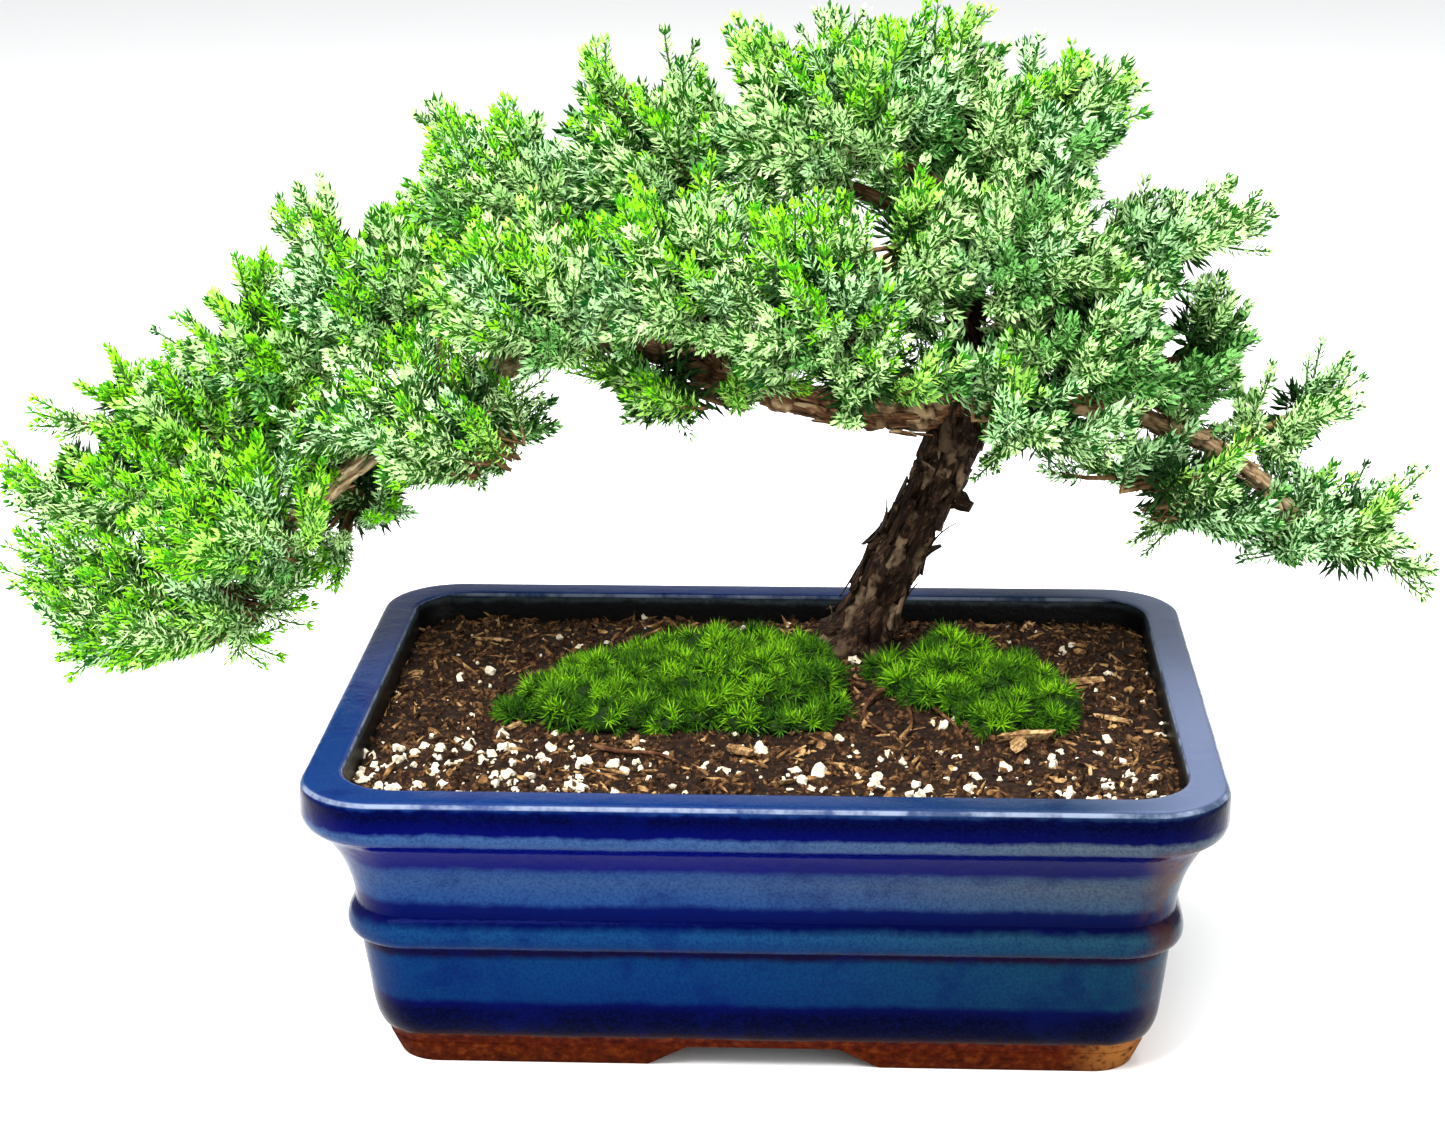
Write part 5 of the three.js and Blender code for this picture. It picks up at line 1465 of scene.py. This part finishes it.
def pickKind(dice, height, lime):
    # paler towards the top of a mass, as painted light from above, and brighter towards the left of the tree
    shade = dice.random() + foliage["shadeHigh"] * height + foliage["shadeLeft"] * lime
    kind = next(kind for kind, limit in foliage["shades"] if shade < limit)
    if lime > 0.5 and dice.random() < foliage["brightFingers"]:
        kind = "lime" if dice.random() < foliage["limeOfBright"] else "fresh"
    return kind


def growMass(order, space, spaces, reachable):
    dice = random.Random(order + 1)
    growth = {"heart": space["heart"], "shoots": [], "twigs": [], "green": []}
    start = dice.random()
    x, y, z = space["half"]
    count = int(foliage["fingers"] * (x * y + y * z + z * x) / foliage["fingersFor"])
    outUnit = space["turn"].T @ space["outward"]
    onLeft, onRight = (smooth(*foliage[key], space["middle"][0]) for key in ("leftFrom", "rightFrom"))
    lime = float(onLeft - foliage["lessOnRight"] * onRight)
    for i in range(count):
        height = lerp(foliage["highest"], foliage["lowest"], (i + dice.random() / 2) / count)
        turned = (i + dice.random() / 6) * goldenAngle + start
        level = math.sqrt(1 - height * height)
        heading = np.array((level * math.cos(turned), level * math.sin(turned), height))
        reach = lerp(foliage["shortest"], foliage["longest"], dice.random() ** 1.8)
        tip = settle(space, heading * reach)
        if any(inUnits(other, tip) < foliage["buried"] for other in spaces if other is not space):
            continue
        foot = heading * foliage["start"] - up * foliage["startDown"] - outUnit * foliage["startIn"]
        budChance = foliage["buds"] + foliage["budsHigh"] * height + foliage["budsLeft"] * lime
        budChance = budChance + foliage["budsRight"] * smooth(*foliage["budsRightFrom"], tip[0])
        budChance = np.clip(budChance, *foliage["budLimits"])
        lift = lerp(*foliage["lift"], smooth(-0.6, 0.3, height))
        growFinger(settle(space, foot), np.clip(tip, *reachable), lift, pickKind(dice, height, lime), turned,
                   budChance, dice, growth, reachable)
    for tip in np.array(standOut, float):
        if min(spaces, key=lambda other: inUnits(other, tip)) is space:
            foot = lerp(space["middle"], tip, 0.5) - up * 0.15 * z
            growFinger(foot, np.clip(tip, *reachable), 0.2, pickKind(dice, 0.4, lime), tip[0],
                       0.5 + 0.4 * lime, dice, growth, reachable)
    # dark inner shoots fill each mass: painted shade inside the foliage
    for _ in range(foliage["inside"]):
        heading = unit(np.array([dice.uniform(-1, 1) for _ in range(3)]))
        foot = settle(space, heading * 0.12)
        tip = settle(space, heading * dice.uniform(*foliage["insideReach"]))
        path = bentPath(foot, lerp(foot, tip, 0.5) - up * 2, tip, 5)
        if len(openPart(path)) == len(path):
            row = shootRow("inner", path, foliage["insideNeedle"])
            growth["shoots"].append(dict(row, ages=row["ages"] / 2))
    stem = np.vstack([space["root"], lerp(space["root"], space["heart"], 0.5), space["heart"]])
    growth["twigs"].append(stick(stem, *foliage["stem"]))
    return growth


def needleMaterial(name, colour, roughness):
    darker = tuple(value * 0.62 for value in colour)
    paler = tuple(min(1, value * 1.35 + 0.01) for value in colour)
    stops = [(0.3, darker), (0.5, colour), (0.72, paler)]
    return mottled(name, stops, (0.22, 3, 0.6), roughness, gloss=0.06)


def keepGrown(name, rows, tree, values, nodes):
    source = lines("shoots", rows)
    piece = grown(source, tree, name, values)
    drop(source)
    print(name, len(piece.data.polygons), "faces")
    keep(piece, "needles", *nodes)


def makeNeedles(shoots, nodes):
    # each kind in pieces of its own, none over the limit of faces
    tree = needleTree()
    shapes = {label: whorl(*row[:3]) for label, row in whorls.items()}
    facesPerStation = 12
    for kind, (backs, fronts) in kinds.items():
        own = [shoot for shoot in shoots if shoot["kind"] == kind]
        spacing = foliage["spacing"] * (foliage["insideSpacing"] if kind == "inner" else 1.0)
        values = dict(shapes, **{
            "Spacing": spacing * mm, "Turn": math.radians(foliage["turn"]), "Loose": foliage["loose"],
            "Backs": needleMaterial(kind + "Backs", backs, 0.5),
            "Faces": needleMaterial(kind + "Faces", fronts, 0.55)})
        costs = np.array([(pathLength(shoot["path"]) / spacing + 2) * facesPerStation for shoot in own])
        parts = int(costs.sum() / foliage["pieceLimit"]) + 1
        shares = np.cumsum(costs) / costs.sum() * parts
        for part in range(parts):
            rows = [shoot for shoot, share in zip(own, shares) if part < share <= part + 1]
            keepGrown(f"{kind}Needles{part + 1}", rows, tree, dict(values, Seed=3 + part), nodes)
    drop(*shapes.values())


def makeFoliage():
    nodes = [f"mass_{row[0]}" for row in masses]
    lowest, highest = ((np.array(corner) - np.array(potMiddle)) / mm for corner in (cadLow, cadHigh))
    reachable = (lowest + foliage["keptIn"], highest - foliage["keptIn"])
    spaces = [makeSpace(*row) for row in masses]
    everything = [growMass(order, space, spaces, reachable) for order, space in enumerate(spaces)]
    parts = ("shoots", "twigs", "green")
    shoots, twigs, green = (sum((mass[part] for mass in everything), []) for part in parts)
    print(len(shoots), "shoots on", len(twigs), "twigs")
    makeNeedles(shoots, nodes)
    tree = twigTree()
    keepGrown("fineTwigs", twigs, tree, {"Sides": 3, "Finish": earthMaterial("twigBark")}, nodes)
    young = needleMaterial("greenStalks", (0.05, 0.13, 0.02), 0.6)
    keepGrown("greenStalks", green, tree, {"Sides": 3, "Finish": young}, nodes)


makeCamera()
makeStudio()
makePot()
makeFeet()
print("pot done")
grains = scatterTree()
makeSoil(grains)
makeMoss(grains)
print("soil and moss done")
makeBark()
makeFoliage()
print("foliage done")
